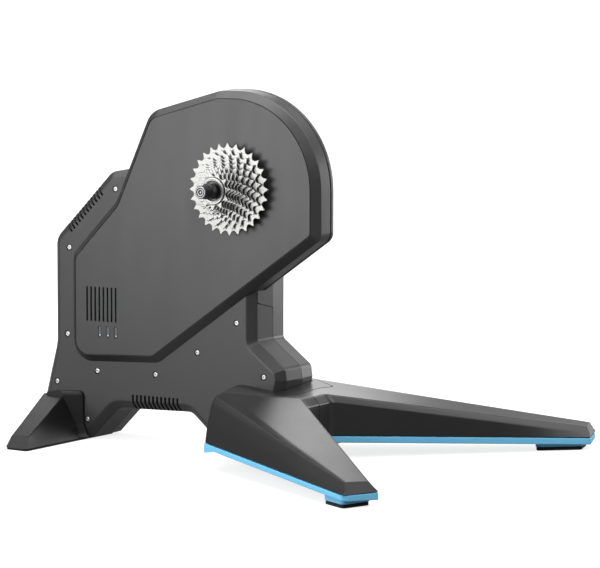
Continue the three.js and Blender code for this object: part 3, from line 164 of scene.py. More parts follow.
def bent(points, radii, steps=4, closed=False):
    """Polyline with soft corners: each is a parabola from a point before the corner to one
    after it, as far away as its radius, or half the edge where that is shorter."""
    points = np.asarray(points, float)
    radii = np.broadcast_to(np.asarray(radii, float), points.shape[:-1])
    before, after = np.roll(points, 1, -2), np.roll(points, -1, -2)
    if not closed:
        before[..., 0, :], after[..., -1, :] = points[..., 0, :], points[..., -1, :]

    def toward(other):
        length = np.linalg.norm(other - points, axis=-1)
        reach = np.minimum(radii, length / 2) / np.maximum(length, 1e-9)
        return points + (other - points) * reach[..., None]

    t = np.linspace(0, 1, steps + 1)[:, None]
    first, second = toward(before)[..., None, :], toward(after)[..., None, :]
    curve = (1 - t) ** 2 * first + 2 * t * (1 - t) * points[..., None, :] + t**2 * second
    return curve.reshape(*points.shape[:-2], -1, points.shape[-1])


def stack(corners, profile, arc=12, straight=2):
    """Outline carried along y: each profile row gives y and how far the outline is drawn in."""
    profile = np.asarray(profile, float)
    loops = outline(corners, profile[:, 1], arc, straight)
    depth = np.broadcast_to(profile[:, :1], loops.shape[:2])
    return np.stack([loops[..., 0], depth, loops[..., 1]], -1)


def at_height(z):
    """The same height everywhere, as a function of x and y."""
    return lambda x, y: z + 0 * x


def plan_stack(corners, insets, heights):
    """Outline in plan carried upwards: a row for each inset, its height a function of x and y."""
    loops = outline(np.asarray(corners, float), insets)
    tops = np.stack([height(row[:, 0], row[:, 1]) for row, height in zip(loops, heights)])
    return np.stack([loops[..., 0], loops[..., 1], tops], -1)


def turned(rows, place, sides=0, steps=48):
    """Profile turned round a line along y: a row's radius goes from round to flat sided as its
    third number goes from 0 to 1. A flat sided radius is the cosine of half a side over the
    cosine of the angle from the side's middle."""
    rows = np.array([(*row, 0)[:3] for row in rows], float)
    angle = np.linspace(0, 2 * math.pi, steps, endpoint=False)
    flat = np.ones(steps)
    if sides:
        half = math.pi / sides
        flat = math.cos(half) / np.cos(angle % (2 * half) - half)
    radius = rows[:, :1] * (1 + rows[:, 2:] * (flat - 1))
    x, z = place
    depth = np.broadcast_to(rows[:, 1:2], radius.shape)
    return np.stack([x + radius * np.cos(angle), depth, z + radius * np.sin(angle)], -1)


def tube(rows, ring=False):
    """Skin over rows of points that each go round once. The ends are closed, or with ring the
    last row meets the first."""
    count, size = rows.shape[:2]
    index = np.arange(count * size).reshape(count, size)
    over = np.vstack([index, index[:1]]) if ring else index
    low, high = over[:-1], over[1:]
    faces = np.stack([low, np.roll(low, -1, 1), np.roll(high, -1, 1), high], -1)
    faces = faces.reshape(-1, 4).tolist()
    if not ring:
        faces += [index[0, ::-1].tolist(), index[-1].tolist()]
    return rows.reshape(-1, 3), faces


def block(xs, ys, zs):
    """Square prism between two x, two y and two z: a tube of two rows."""
    corners = [(xs[0], zs[0]), (xs[1], zs[0]), (xs[1], zs[1]), (xs[0], zs[1])]
    return tube(np.array([[(x, y, z) for x, z in corners] for y in ys], float))


def mirrored(part):
    """The part on the other side of y = 0, with its faces turned back outwards."""
    points, faces = part
    return points * FLIPPED, [face[::-1] for face in faces]


def lowered(part, drop):
    """The part moved straight down."""
    points, faces = part
    return points - (0, 0, drop), faces


def lathe(profile, start, place, sides=0, steps=48, ring=False):
    """Turned part: each profile row gives a radius, how far along y it lies from the start,
    and, where it is flat sided, how much so."""
    rows = [(radius, start + y, *flat) for radius, y, *flat in profile]
    return tube(turned(rows, place, sides, steps), ring)


def skin(name, parts):
    """New object whose mesh holds the parts, in metres, closed and facing outwards."""
    starts = np.cumsum([0] + [len(points) for points, _ in parts])
    points = np.concatenate([points for points, _ in parts])
    faces = [
        [start + corner for corner in face]
        for start, (_, part) in zip(starts.tolist(), parts)
        for face in part
    ]
    mesh = bpy.data.meshes.new(name)
    mesh.from_pydata(((points + (AXLE_X, 0, 0)) * METRE).tolist(), [], faces)
    tidy(mesh)
    made = bpy.data.objects.new(name, mesh)
    bpy.context.scene.collection.objects.link(made)
    return made


def tidy(mesh):
    """Merges doubles, drops faces with no area and turns every face outwards."""
    work = bmesh.new()
    work.from_mesh(mesh)
    bmesh.ops.remove_doubles(work, verts=work.verts, dist=2e-6)
    bmesh.ops.dissolve_degenerate(work, edges=work.edges, dist=1e-6)
    bmesh.ops.recalc_face_normals(work, faces=work.faces)
    work.to_mesh(mesh)
    work.free()


def carved(name, blank, steps):
    """The blank joined with, cut by or kept within each step's parts, as a plain mesh."""
    made = skin(name, blank)
    tools = []
    for operation, parts in steps:
        tool = parts if isinstance(parts, bpy.types.Object) else skin(name + "_tool", parts)
        cut = made.modifiers.new("cut", "BOOLEAN")
        cut.operation, cut.solver, cut.object = operation, "EXACT", tool
        tools.append(tool)
    bpy.context.view_layer.update()
    seen = made.evaluated_get(bpy.context.evaluated_depsgraph_get())
    mesh = bpy.data.meshes.new_from_object(seen)
    made.modifiers.clear()
    made.data = mesh
    for tool in set(tools):
        bpy.data.objects.remove(tool)
    tidy(mesh)
    return made


def dress(made, nodes, slot, body="stand", angle=30):
    """Shades the piece smooth up to an angle, gives it its material and ties it to the frame."""
    made.data.materials.clear()
    made.data.materials.append(finishes[slot])
    made.data.shade_smooth()
    made.data.set_sharp_from_angle(angle=math.radians(angle))
    weigh = made.modifiers.new("weighted", "WEIGHTED_NORMAL")
    weigh.keep_sharp = True
    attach(made, body)
    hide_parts(*nodes)


# ---------------------------- finishes

class Value:
    """A number that changes over a surface. An expression on it adds its Math nodes."""

    def __init__(self, finish, socket):
        self.finish, self.socket = finish, socket

    def __add__(self, other):
        return self.finish.maths("ADD", self, other)

    __radd__ = __add__

    def __sub__(self, other):
        return self.finish.maths("SUBTRACT", self, other)

    def __rsub__(self, other):
        return self.finish.maths("SUBTRACT", other, self)

    def __mul__(self, other):
        return self.finish.maths("MULTIPLY", self, other)

    __rmul__ = __mul__

    def __pow__(self, other):
        return self.finish.maths("POWER", self, other)

    def __rpow__(self, other):
        return self.finish.maths("POWER", other, self)


class Finish:
    """One material, or the world. Every node comes from node()."""

    def __init__(self, owner):
        self.owner = owner
        owner.use_nodes = True
        self.tree = owner.node_tree
        self.tree.nodes.clear()

    def node(self, kind, settings=None, sockets=None):
        """New node: its type, then its settings, then what goes into its sockets."""
        made = self.tree.nodes.new("ShaderNode" + kind)
        for name, setting in (settings or {}).items():
            setattr(made, name, setting)
        for name, value in (sockets or {}).items():
            if isinstance(value, Value):
                value = value.socket
            if isinstance(value, bpy.types.NodeSocket):
                self.tree.links.new(value, made.inputs[name])
            else:
                made.inputs[name].default_value = value
        return made

    def maths(self, operation, first, second=0.0, clamp=False):
        """One Math node. With clamp its result stays between 0 and 1."""
        made = self.node(
            "Math", {"operation": operation, "use_clamp": clamp}, {0: first, 1: second}
        )
        return Value(self, made.outputs[0])

    def place(self):
        """Place on the object, which doesn't move when the object does."""
        return self.node("TexCoord").outputs["Object"]

    def noise(self, scale, detail=2.0, roughness=0.5, place=None):
        """Cloudy noise, about as many clouds to the metre as its scale."""
        made = self.node("TexNoise", {"noise_dimensions": "3D"}, {
            "Vector": place or self.place(),
            "Scale": scale,
            "Detail": detail,
            "Roughness": roughness,
        })
        return Value(self, made.outputs[0])

    def stretched(self, scale, sizes):
        """Noise drawn out along an axis, for rubbed patches."""
        made = self.node(
            "Mapping", {"vector_type": "POINT"}, {"Vector": self.place(), "Scale": sizes}
        )
        return self.noise(scale, 3.0, place=made.outputs[0])

    def from_axle(self):
        """Distance from the axle line, in metres."""
        parts = self.node("SeparateXYZ", None, {0: self.place()})
        x = Value(self, parts.outputs[0]) - AXLE_X * METRE
        z = Value(self, parts.outputs[2]) - AXLE_HEIGHT * METRE
        return (x * x + z * z) ** 0.5

    def mixed(self, share, first, second):
        """Colour that goes from the first, a colour or a socket, to the second."""
        first = (*first, 1) if isinstance(first, tuple) else first
        made = self.node("Mix", {"data_type": "RGBA"}, {0: share, 6: first, 7: (*second, 1)})
        return made.outputs[2]

    def bumped(self, height, distance, strength=1.0):
        """Normal tilted by a height, the distance in metres from its low to its high."""
        made = self.node(
            "Bump", None, {"Height": height, "Distance": distance, "Strength": strength}
        )
        return made.outputs[0]

    def shine(self, sockets):
        """Joins the sockets' values into the surface and gives back the material."""
        shader = self.node("BsdfPrincipled", None, sockets)
        self.node("OutputMaterial", None, {"Surface": shader.outputs[0]})
        return self.owner


def linear(code):
    """Linear colour of a six digit screen colour."""
    parts = [int(code[k : k + 2], 16) / 255 for k in (0, 2, 4)]
    return tuple(c / 12.92 if c <= 0.04045 else ((c + 0.055) / 1.055) ** 2.4 for c in parts)


def new_finish(name, code):
    """Empty material to build on, and the linear colour it is built round."""
    return Finish(bpy.data.materials.new(name)), linear(code)


def shade(colour, factor):
    """The colour made brighter or darker by a factor."""
    return tuple(channel * factor for channel in colour)


def moulded_plastic(name, code, roughness, specular):
    """Spark-eroded moulding: fine bumps, a slow drift of tone, faint rubbed patches."""
    finish, colour = new_finish(name, code)
    fine = finish.noise(1400, 3.0, 0.6)
    broad = finish.noise(7, 3.0)
    rubbed = finish.stretched(40, (1.0, 1.0, 0.25))
    tone = finish.mixed(broad, shade(colour, 0.93), shade(colour, 1.07))
    return finish.shine({
        "Base Color": finish.mixed(fine * 0.25, tone, shade(colour, 0.8)),
        "Roughness": roughness + 0.1 * (broad - 0.5) + 0.12 * (rubbed - 0.5) + 0.05 * (fine - 0.5),
        "Specular IOR Level": specular,
        "Normal": finish.bumped(fine, 0.00006, 0.5),
    })


def satin_paint(name, code, roughness, specular):
    """Powder coat: a slow ripple of the skin over a fine mottle, with a little bright fleck."""
    finish, colour = new_finish(name, code)
    ripple = finish.noise(260, 2.0)
    fleck = finish.noise(2600, 1.0)
    broad = finish.noise(9, 3.0)
    tone = finish.mixed(broad, shade(colour, 0.94), shade(colour, 1.06))
    spark = finish.maths("GREATER_THAN", fleck, 0.66)
    return finish.shine({
        "Base Color": finish.mixed(spark * 0.35, tone, shade(colour, 1.9)),
        "Roughness": roughness + 0.08 * (broad - 0.5) + 0.06 * (ripple - 0.5),
        "Metallic": spark * 0.25,
        "Specular IOR Level": specular,
        "Normal": finish.bumped(ripple * 0.8 + fleck * 0.2, 0.00007, 0.6),
    })


def rubber_skin(name, code):
    """Matte rubber: pitted, with pale dust in the pits."""
    finish, colour = new_finish(name, code)
    pits = finish.noise(900, 4.0, 0.7)
    broad = finish.noise(25, 3.0)
    return finish.shine({
        "Base Color": finish.mixed(broad * pits, colour, shade(colour, 2.6)),
        "Roughness": 0.78 + 0.2 * (pits - 0.5),
        "Specular IOR Level": 0.3,
        "Normal": finish.bumped(pits, 0.00015, 0.7),
    })


def turned_metal(name, code, roughness):
    """Metal turned on a lathe: fine rings round the axle line, and a soft haze."""
    finish, colour = new_finish(name, code)
    radius = finish.from_axle()
    rings = finish.maths("SINE", radius * 2200)
    broad = finish.noise(60, 3.0)
    grit = finish.noise(3000, 2.0)
    return finish.shine({
        "Base Color": finish.mixed(broad, shade(colour, 0.86), colour),
        "Metallic": 1.0,
        "Roughness": roughness + 0.14 * (broad - 0.5) + 0.04 * rings + 0.05 * (grit - 0.5),
        "Normal": finish.bumped(rings * 0.5 + grit, 0.000012, 0.5),
    })


def cast_metal(name, code, roughness):
    """Cast or forged metal: grainy, uneven, darker in the hollows of the grain."""
    finish, colour = new_finish(name, code)
    grain = finish.noise(700, 5.0, 0.65)
    broad = finish.noise(18, 3.0)
    return finish.shine({
        "Base Color": finish.mixed(grain, shade(colour, 0.7), colour),
        "Metallic": 0.9,
        "Roughness": roughness + 0.2 * (broad - 0.5) + 0.1 * (grain - 0.5),
        "Normal": finish.bumped(grain, 0.00012, 0.6),
    })


def wound_copper(name, code):
    """Enamelled wire in layers: ridges along y, one to each turn of the wire, and painted shade
    that darkens the grooves between the turns.
    """
    finish, colour = new_finish(name, code)
    parts = finish.node("SeparateXYZ", None, {0: finish.place()})
    turns_and_groove_shade = finish.maths("SINE", Value(finish, parts.outputs[1]) * 9000)
    broad = finish.noise(60, 2.0)
    return finish.shine({
        # Painted shade: the colour is darker in the grooves between the turns
        "Base Color": finish.mixed(turns_and_groove_shade * 0.25 + 0.5, shade(colour, 0.55), colour),
        "Metallic": 0.85,
        "Roughness": 0.3 + 0.2 * (broad - 0.5),
        "Normal": finish.bumped(turns_and_groove_shade, 0.0001, 0.8),
    })


def board_laminate(name, code):
    """Circuit board: darker laminate with brighter tracks where square cells are large."""
    finish, colour = new_finish(name, code)
    cells = finish.node("TexBrick", None, {"Vector": finish.place(), "Scale": 90.0})
    weave = finish.noise(1500, 2.0)
    tracks = Value(finish, cells.outputs["Fac"])
    return finish.shine({
        "Base Color": finish.mixed(tracks, shade(colour, 0.8), shade(colour, 1.6)),
        "Roughness": 0.45 + 0.1 * (weave - 0.5),
        "Normal": finish.bumped(tracks * 0.6 + weave * 0.4, 0.00005),
    })


def frosted_lens(name, code):
    """Frosted light guide: milky, a little glossy, with a fine etched grain."""
    finish, colour = new_finish(name, code)
    etched = finish.noise(1800, 2.0)
    return finish.shine({
        "Base Color": finish.mixed(etched, shade(colour, 0.85), colour),
        "Roughness": 0.3 + 0.15 * (etched - 0.5),
        "Normal": finish.bumped(etched, 0.00003),
    })


finishes = {
    "shell_grey": moulded_plastic("shell_plastic", "2e2e2f", 0.4, 0.5),
    "cover_grey": moulded_plastic("cover_plastic", "2c2c2d", 0.38, 0.52),
    "dark_grey": moulded_plastic("foot_plastic", "151516", 0.4, 0.3),
    "leg_grey": satin_paint("leg_paint", "1d1d1e", 0.34, 0.5),
    "base_blue": moulded_plastic("base_plastic", "6fbde4", 0.42, 0.4),
    "rubber": rubber_skin("pad_rubber", "161617"),
    "cast_metal": cast_metal("cast_aluminium", "a3a5a8", 0.5),
    "steel": turned_metal("turned_steel", "a8a9ab", 0.42),
    "sprocket_steel": turned_metal("nickel_plate", "9b9b99", 0.38),
    "screw_steel": turned_metal("screw_zinc", "c8c9ca", 0.42),
    "dark_steel": cast_metal("oiled_iron", "5b5c5f", 0.4),
    "black_metal": satin_paint("black_anodised", "141415", 0.36, 0.45),
    "copper": wound_copper("coil_copper", "c27a42"),
    "board_green": board_laminate("board_laminate", "1f5a3a"),
    "black_plastic": moulded_plastic("black_plastic", "151516", 0.45, 0.35),
    "clear_lens": frosted_lens("lens_frost", "47494b"),
}

slot_of = {part["node"]: part["material_slot"] for part in frame["record"]["subparts"]}
for name, node in frame["nodes"].items():
    for place in node.material_slots:
        place.material = finishes[slot_of[name]]


# ---------------------------- body

def body_rows(grow, fillet=EDGE_FILLET, steps=4, draft=0.0):
    """Body blank: the outline with both face edges chamfered, each edge a soft bend, and the
    side walls drawn in from the seam by the mould's draft."""
    near, far = PLATE_Y - grow, BODY_FAR_Y + grow
    edge = EDGE_CHAMFER - grow * WALL_BEND
    flat = edge + draft + (fillet + 1)
    profile = bent(
        [
            (near, flat),
            (near, edge + draft),
            (near + edge, draft - grow),
            (SEAM_Y, -grow),
            (far - edge, draft - grow),
            (far, edge + draft),
            (far, flat),
        ],
        [0, fillet, fillet, 0.3, fillet, fillet, 0],
        steps,
    )
    return stack(body_corners, profile)


def under_feet(grow):
    """Steps that cut away what lies under the front foot and under the rear foot."""
    front, rear = (ARCH_MIDDLE, FAR_AWAY), (-FAR_AWAY, ARCH_MIDDLE + 0.01)
    return [
        (CUT, [block(front, EVERYWHERE, (-FAR_AWAY, FRONT_FOOT_HEIGHT - grow))]),
        (CUT, [block(rear, EVERYWHERE, (-FAR_AWAY, REAR_FOOT_HEIGHT - grow))]),
    ]


def body_room(grow=SEAT_GAP):
    """Space that the body fills, as an object to cut with. Drawn in by the wall's thickness
    it is the hollow inside the body."""
    return carved("body_room", [tube(body_rows(grow, 1.0, 2))], under_feet(grow))


def slots(place, along, count, pitch, width, reach, ys):
    """Row of slots: square prisms a pitch apart along a direction, each reaching as far to
    both sides across it."""
    along = unit(np.array(along, float))
    across = np.array([-along[1], along[0]])
    corners = np.array([(-1, -1), (1, -1), (1, 1), (-1, 1)], float)
    made = []
    for k in range(count):
        centre = place + along * (k - (count - 1) / 2) * pitch
        loop = centre + corners[:, :1] * along * width / 2 + corners[:, 1:] * across * reach
        made.append(tube(np.stack([
            np.stack([loop[:, 0], np.full(4, y), loop[:, 1]], -1) for y in ys
        ])))
    return made


def slope_vents(ys):
    """Vents in the rear slope, one below the other along it."""
    return slots(slope_vent_place, (0.701, 0.713), *BODY_VENTS, ys)


# Jog of the seam on the tower: its y, its depth, and its lower edge at both its sides
JOG_Y, JOG_DEPTH = 24.0, 14.0
JOG_LOW, JOG_FAR_LOW = 192.7, 184.5


def jog(gap):
    """Part of the tower's front where the far shell reaches over the seam: a prism along x,
    its lower edge aslant."""
    top = AXLE_HEIGHT + HEAD_RADIUS
    near, far = JOG_Y - gap, SEAM_Y + SEAM_LINE
    loop = [(near, JOG_LOW - gap), (far, JOG_FAR_LOW - gap), (far, top), (near, top)]
    rear = TOWER_FRONT_SHARE * REAR_REACH - JOG_DEPTH - gap
    return tube(np.array([[(x, y, z) for y, z in loop] for x in (rear, FAR_AWAY)], float))


def belt_window():
    """Opening behind the belt cover: the cover's outline drawn in."""
    rows = [(y, BELT_WINDOW_INSET) for y in (BEFORE_COVER, BELT_WINDOW_END)]
    return tube(stack(cover_corners, rows, 24))


def cylinder(radius, ys, place, steps=48):
    """Round bar along y: a turned profile of two rows."""
    return tube(turned([(radius, y) for y in ys], place, steps=steps))


def cups(radius, ys):
    """A round bar at each body screw."""
    return [cylinder(radius, ys, place, 32) for place in screw_places]


near_vents = (0, PLATE_Y + EDGE_CHAMFER + SHELL_WALL)
far_vents = (BODY_FAR_Y - EDGE_CHAMFER - SHELL_WALL, 2 * BODY_FAR_Y)
far_half = block(EVERYWHERE, (SEAM_Y - SEAM_LINE / 2, FAR_AWAY), EVERYWHERE)
near_half = block(EVERYWHERE, (-FAR_AWAY, SEAM_Y + SEAM_LINE / 2), EVERYWHERE)

body_blank = tube(body_rows(0, draft=SIDE_DRAFT))

drive_shell = carved("drive_shell", [body_blank], [
    *under_feet(0),
    (CUT, [far_half]),
    (CUT, body_room(-SHELL_WALL)),
    (CUT, [belt_window()]),
    (CUT, slope_vents(near_vents)),
    (CUT, slots(arch_vent_place, (1, 0), *BODY_VENTS, near_vents)),
    (JOIN, cups(CUP_WALL_RADIUS, (PLATE_Y + 2, SEAM_Y - 1))),
    (CUT, cups(CUP_RADIUS, (0, PLATE_Y + CUP_DEPTH))),
    (CUT, [jog(SEAM_LINE)]),
])
dress(drive_shell, ["drive_side_shell"], "shell_grey", angle=32)

far_shell = carved("far_shell", [body_blank], [
    *under_feet(0),
    (CUT, body_room(-SHELL_WALL)),
    (CUT, carved("near_half", [near_half], [(CUT, [jog(0)])])),
    (CUT, [belt_window()]),
    (CUT, slope_vents(far_vents)),
    (CUT, [cylinder(INLET_RADIUS, (SEAM_Y, 2 * BODY_FAR_Y), inlet_place)]),
])
dress(far_shell, ["far_side_shell"], "shell_grey", angle=32)


# ---------------------------- belt cover and head

def light_pills(grow, ys, rounding=0.0):
    """A long round-ended block at each status light, its first edge rounded by one bevel. The
    ends' radius is a hair less than half the width, so that a straight bit stays."""
    made = []
    for x in light_xs:
        half = np.array([LIGHT_WIDTH, LIGHT_LENGTH]) / 2 + grow
        corners = np.array([(-1, -1), (1, -1), (1, 1), (-1, 1)]) * half + (x, light_place[1])
        corners = np.column_stack([corners, np.full(4, half[0] - 0.05)])
        rows = [(ys[0], rounding), (ys[0] + rounding, 0), (ys[1], 0)]
        made.append(tube(stack(corners, rows[0 if rounding else 1:], 8, 0)))
    return made


# Profiles: y and how far the outline is drawn in. A groove runs round the face's edge.
cover_outer = stack(cover_corners, bent(
    [
        (COVER_FACE_Y, 15), (COVER_FACE_Y, 11.5), (3.5, 11.3), (3.5, 10.7), (2.3, 10.4),
        (12, 1), (32.6, 0), (33.2, 0.8),
    ],
    [0, 0.3, 0.1, 0.1, 0.4, 1.4, 0.5, 0],
    4,
), 24, 3)
cover_inner = stack(cover_corners, [(5, 14), (13, 4.2), (60, 3)], 24, 3)
through_face = (BEFORE_COVER, UNDER_COVER_FACE)
LENS_GAP = 0.45
belt_cover = carved("cover", [tube(cover_outer)], [
    (CUT, [tube(cover_inner)]),
    (CUT, [
        cylinder(COVER_BORE_RADIUS, (BEFORE_COVER, UNDER_COVER_FACE + 1), AXLE_PLACE, 96),
    ]),
    (CUT, slots(cover_vent_place, (1, 0), *COVER_VENTS, through_face)),
    (CUT, light_pills(LENS_GAP, through_face)),
    (CUT, body_room()),
])
dress(belt_cover, ["belt_cover"], "cover_grey", angle=32)

PILL_DEPTH, LENS_PLATE = 1.5, 1.9
lens_low, lens_high = (
    np.array(corner) / METRE - (AXLE_X, 0, 0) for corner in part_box("light_guide")
)
lenses = skin("light_lenses", [
    *light_pills(0, (COVER_FACE_Y + 0.15, lens_high[1] - PILL_DEPTH), 0.35),
    block(
        (lens_low[0], lens_high[0]),
        (lens_high[1] - LENS_PLATE, lens_high[1]),
        (lens_low[2], lens_high[2]),
    ),
])
dress(lenses, ["light_guide"], "clear_lens")

DOT_BELOW_MIDDLE = 4.6
dot_profile = [(0.01, 1.75), (0.7, 1.8), (1.0, 2.1), (1.0, 3.2), (0.01, 3.2)]
light_dots = skin("light_dots", [
    lathe(dot_profile, 0, (x, light_place[1] - DOT_BELOW_MIDDLE), steps=24) for x in light_xs
])
dress(light_dots, [], "screw_steel", angle=40)

rim_start = COVER_SEAM_Y + SEAM_LINE
# The rim stands a little proud of the cover
rim_profile = bent(
    [
        (rim_start, 5), (rim_start, 0.3), (rim_start + 1, -0.3), (RIM_BACK_Y - 1.4, -0.3),
        (RIM_BACK_Y, 1.1), (RIM_BACK_Y, 12), (RIM_BACK_Y - 3, 12), (RIM_BACK_Y - 3, 5),
    ],
    [0, 0.4, 0.4, 0.8, 0.8, 0, 0, 0],
    3,
)
cover_rim = carved("rim", [tube(stack(cover_corners, rim_profile, 24, 3), ring=True)], [
    (CUT, body_room()),
])
dress(cover_rim, ["cover_rim"], "cover_grey", angle=32)

BACK_DEPTH, BACK_WALL = 14.0, 3.0
back_start = RIM_BACK_Y + SEAT_GAP
back_end = back_start + BACK_DEPTH
back_profile = bent(
    [(back_start, 16), (back_start, 10.5), (back_end, 14.5), (back_end, 20)], [0, 0.5, 2.5, 0], 4,
)
back_hollow = [(20, 13.5), (back_end - BACK_WALL, 17.5)]
head_back = carved("head_back", [tube(stack(cover_corners, back_profile, 24, 3))], [
    (CUT, [tube(stack(cover_corners, back_hollow, 24, 3))]),
    (CUT, [cylinder(BACK_BORE_RADIUS, (0, BODY_FAR_Y), AXLE_PLACE, 64)]),
    (CUT, body_room()),
])
dress(head_back, ["head_back_cover"], "dark_grey", angle=32)


# ---------------------------- cassette

CHAIN_PITCH = 12.7
ROLLER_RADIUS = 3.95
TOOTH_RISE = 2.5
TOOTH_SAMPLES = 20
SEAT_SHARE, HALF_TIP, TIP_THINNING = 0.8, 0.45, 0.42
TOOTH_LINE = math.radians(43.5)
HUB_RADIUS = 17.5
SPROCKETS = (28, 24, 21, 19, 17, 15, 14, 13, 12, 11)
FIRST_SPROCKET_Y, SPROCKET_STEP, HALF_THICKNESS = -8.7, 3.95, 0.85
SPACER_START, SPACER_DEPTH, SPACER_RIM = 0.9, 2.0, 2.6


def sprocket_middle(place):
    """Y of a sprocket's middle plane: the largest comes first, the others follow outwards."""
    return FIRST_SPROCKET_Y - place * SPROCKET_STEP


def tooth_edge(teeth):
    """Angles, edge radii and pitch radius of a sprocket. The pitch radius is half the chain's
    pitch over the sine of half a tooth's angle. The edge is a roller's arc in each valley,
    then a flank that climbs evenly to a narrow tip half way to the next valley."""
    half = math.pi / teeth
    pitch = CHAIN_PITCH / 2 / math.sin(half)
    angle = np.linspace(0, 2 * math.pi, teeth * TOOTH_SAMPLES, endpoint=False)
    off = np.abs((angle + half) % (2 * half) - half)
    seat = SEAT_SHARE * math.asin(ROLLER_RADIUS / pitch)
    half_tip = HALF_TIP / pitch
    inside = np.minimum(off, seat)
    valley = pitch * np.cos(inside) - np.sqrt(ROLLER_RADIUS**2 - (pitch * np.sin(inside)) ** 2)
    climb = np.clip((off - seat) / (half - seat - half_tip), 0, 1)
    edge = valley + (pitch + TOOTH_RISE - valley) * climb
    return angle, edge, pitch


def sprocket(teeth, place):
    """Sprocket: rows that follow the toothed edge, the sides drawn in towards a tooth's tip in
    step with its climb. A row close to the bore keeps the bore's edge sharp."""
    angle, edge, pitch = tooth_edge(teeth)
    near, far = sprocket_middle(place) - HALF_THICKNESS, sprocket_middle(place) + HALF_THICKNESS
    root = pitch - ROLLER_RADIUS
    bore = min(HUB_RADIUS, root - 2) if teeth > 11 else root - 0.5
    by_bore, side, bevel = bore + 0.1, edge - 1.0, 0.35
    thin = TIP_THINNING * np.clip((edge - root) / (ROLLER_RADIUS + TOOTH_RISE), 0, 1)
    rows = [
        (bore, near), (by_bore, near), (side, near), (edge - bevel, near + thin),
        (edge, near + thin + bevel), (edge, far - thin - bevel),
        (edge - bevel, far - thin), (side, far), (by_bore, far), (bore, far),
    ]
    radius = np.stack([np.broadcast_to(r, angle.shape) for r, _ in rows])
    depth = np.stack([np.broadcast_to(y, angle.shape) for _, y in rows])
    spin = angle - TOOTH_LINE
    points = [radius * np.cos(spin), depth, AXLE_HEIGHT + radius * np.sin(spin)]
    return tube(np.stack(points, -1), ring=True)


def spacer(teeth, place):
    """Spacer ring behind a sprocket, a little smaller than its valleys. Dressed black, it is partly
    the spacer's own colour and partly painted shade in the gaps between the sprockets.
    """
    outer = min(HUB_RADIUS + SPACER_RIM, tooth_edge(teeth)[1].min() - 0.3)
    profile = [(HUB_RADIUS, 0), (outer, 0), (outer, SPACER_DEPTH), (HUB_RADIUS, SPACER_DEPTH)]
    return lathe(profile, sprocket_middle(place) + SPACER_START, AXLE_PLACE, steps=64, ring=True)


for place, teeth in enumerate(SPROCKETS):
    made = skin(f"sprocket_{teeth}_toothed", [sprocket(teeth, place)])
    dress(made, [f"sprocket_{teeth}"], "sprocket_steel", "cassette", 28)

# The spacers are black: partly their own colour, partly painted shade that darkens the gaps between
# the sprockets
spacers_and_gap_shade = skin("sprocket_spacers", [spacer(teeth, place) for place, teeth in enumerate(SPROCKETS)])
dress(spacers_and_gap_shade, [], "black_plastic", "cassette", 28)

lock_y = sprocket_middle(len(SPROCKETS) - 1) - HALF_THICKNESS
notched_profile = [
    (12.6, -0.3), (12.6, -2.0, 0.35), (13.4, -2.4, 0.2), (14.3, -2.4), (14.5, -1.9),
    (14.9, -1.9), (15.1, -2.4), (16.6, -2.4), (17.2, -1.8), (17.2, -0.3),
]
lockring = skin("lockring_notched", [
    lathe(notched_profile, lock_y, AXLE_PLACE, 12, 192, ring=True),
])
dress(lockring, ["lockring"], "sprocket_steel", "cassette", 28)

# End cap: a plain root, a six sided collar and a long round nose
CAP_GAP, ROOT_LENGTH, COLLAR_LENGTH, NOSE_LENGTH = 1.2, 6.5, 6.2, 15.8
cap_y = lock_y - CAP_GAP
collar_start = cap_y - ROOT_LENGTH
collar_end = collar_start - COLLAR_LENGTH
nose_end = collar_end - NOSE_LENGTH
cap = skin("drive_cap_black", [tube(turned([
    (7.8, cap_y), (9.3, cap_y), (9.3, collar_start + 0.4), (10.6, collar_start),
    (11.2, collar_start - 0.8, 1), (11.2, collar_end + 1.0, 1), (10.6, collar_end + 0.2, 0.8),
    (8.9, collar_end), (8.6, collar_end - 0.4), (8.2, nose_end + 1.2), (7.9, nose_end + 0.8),
    (7.4, nose_end + 0.8), (7.4, nose_end + 2.0), (0.01, nose_end + 2.0),
], AXLE_PLACE, 6, 96))])
dress(cap, ["drive_end_cap"], "black_metal", angle=28)

nose_profile = [(7.3, 1.9), (7.3, 0.5), (6.9, 0), (6.2, 0), (5.9, 0.4), (5.9, 1.9)]
nose = skin("drive_cap_nose", [lathe(nose_profile, nose_end, AXLE_PLACE, steps=96, ring=True)])
dress(nose, [], "steel", angle=28)

collar_profile = [(4.7, 1.95), (4.7, 0.8), (4.4, 0.4), (3.6, 0.4), (3.2, 0.8), (3.2, 1.95)]
pin_profile = [(0.01, 0.7), (1.1, 0.7), (1.5, 1.1), (1.5, 1.95), (0.01, 1.95)]
bolt = skin("drive_cap_bolt", [
    lathe(collar_profile, nose_end, AXLE_PLACE, steps=64, ring=True),
    lathe(pin_profile, nose_end, AXLE_PLACE, steps=32),
])
dress(bolt, [], "steel", angle=28)


# ---------------------------- screws

# Rows with a third number are six sided: the socket in the head
SCREW_LENGTH = 30
screw_profile = [
    (0.01, 1.4), (1.45, 1.3, 1), (1.45, 0.1, 1), (1.8, 0, 0.3), (2.5, 0.05), (3.1, 0.4),
    (3.3, 0.9), (3.3, SCREW_HEAD_HEIGHT), (1.9, SCREW_HEAD_HEIGHT), (1.9, SCREW_LENGTH),
    (0.01, SCREW_LENGTH),
]
head_y = PLATE_Y + CUP_DEPTH - SEAT_GAP - SCREW_HEAD_HEIGHT
for number, place in enumerate(screw_places, 1):
    made = skin(f"screw_{number}_head", [lathe(screw_profile, head_y, place, 6)])
    dress(made, [f"body_screw_{number}"], "screw_steel", angle=28)


# ---------------------------- legs

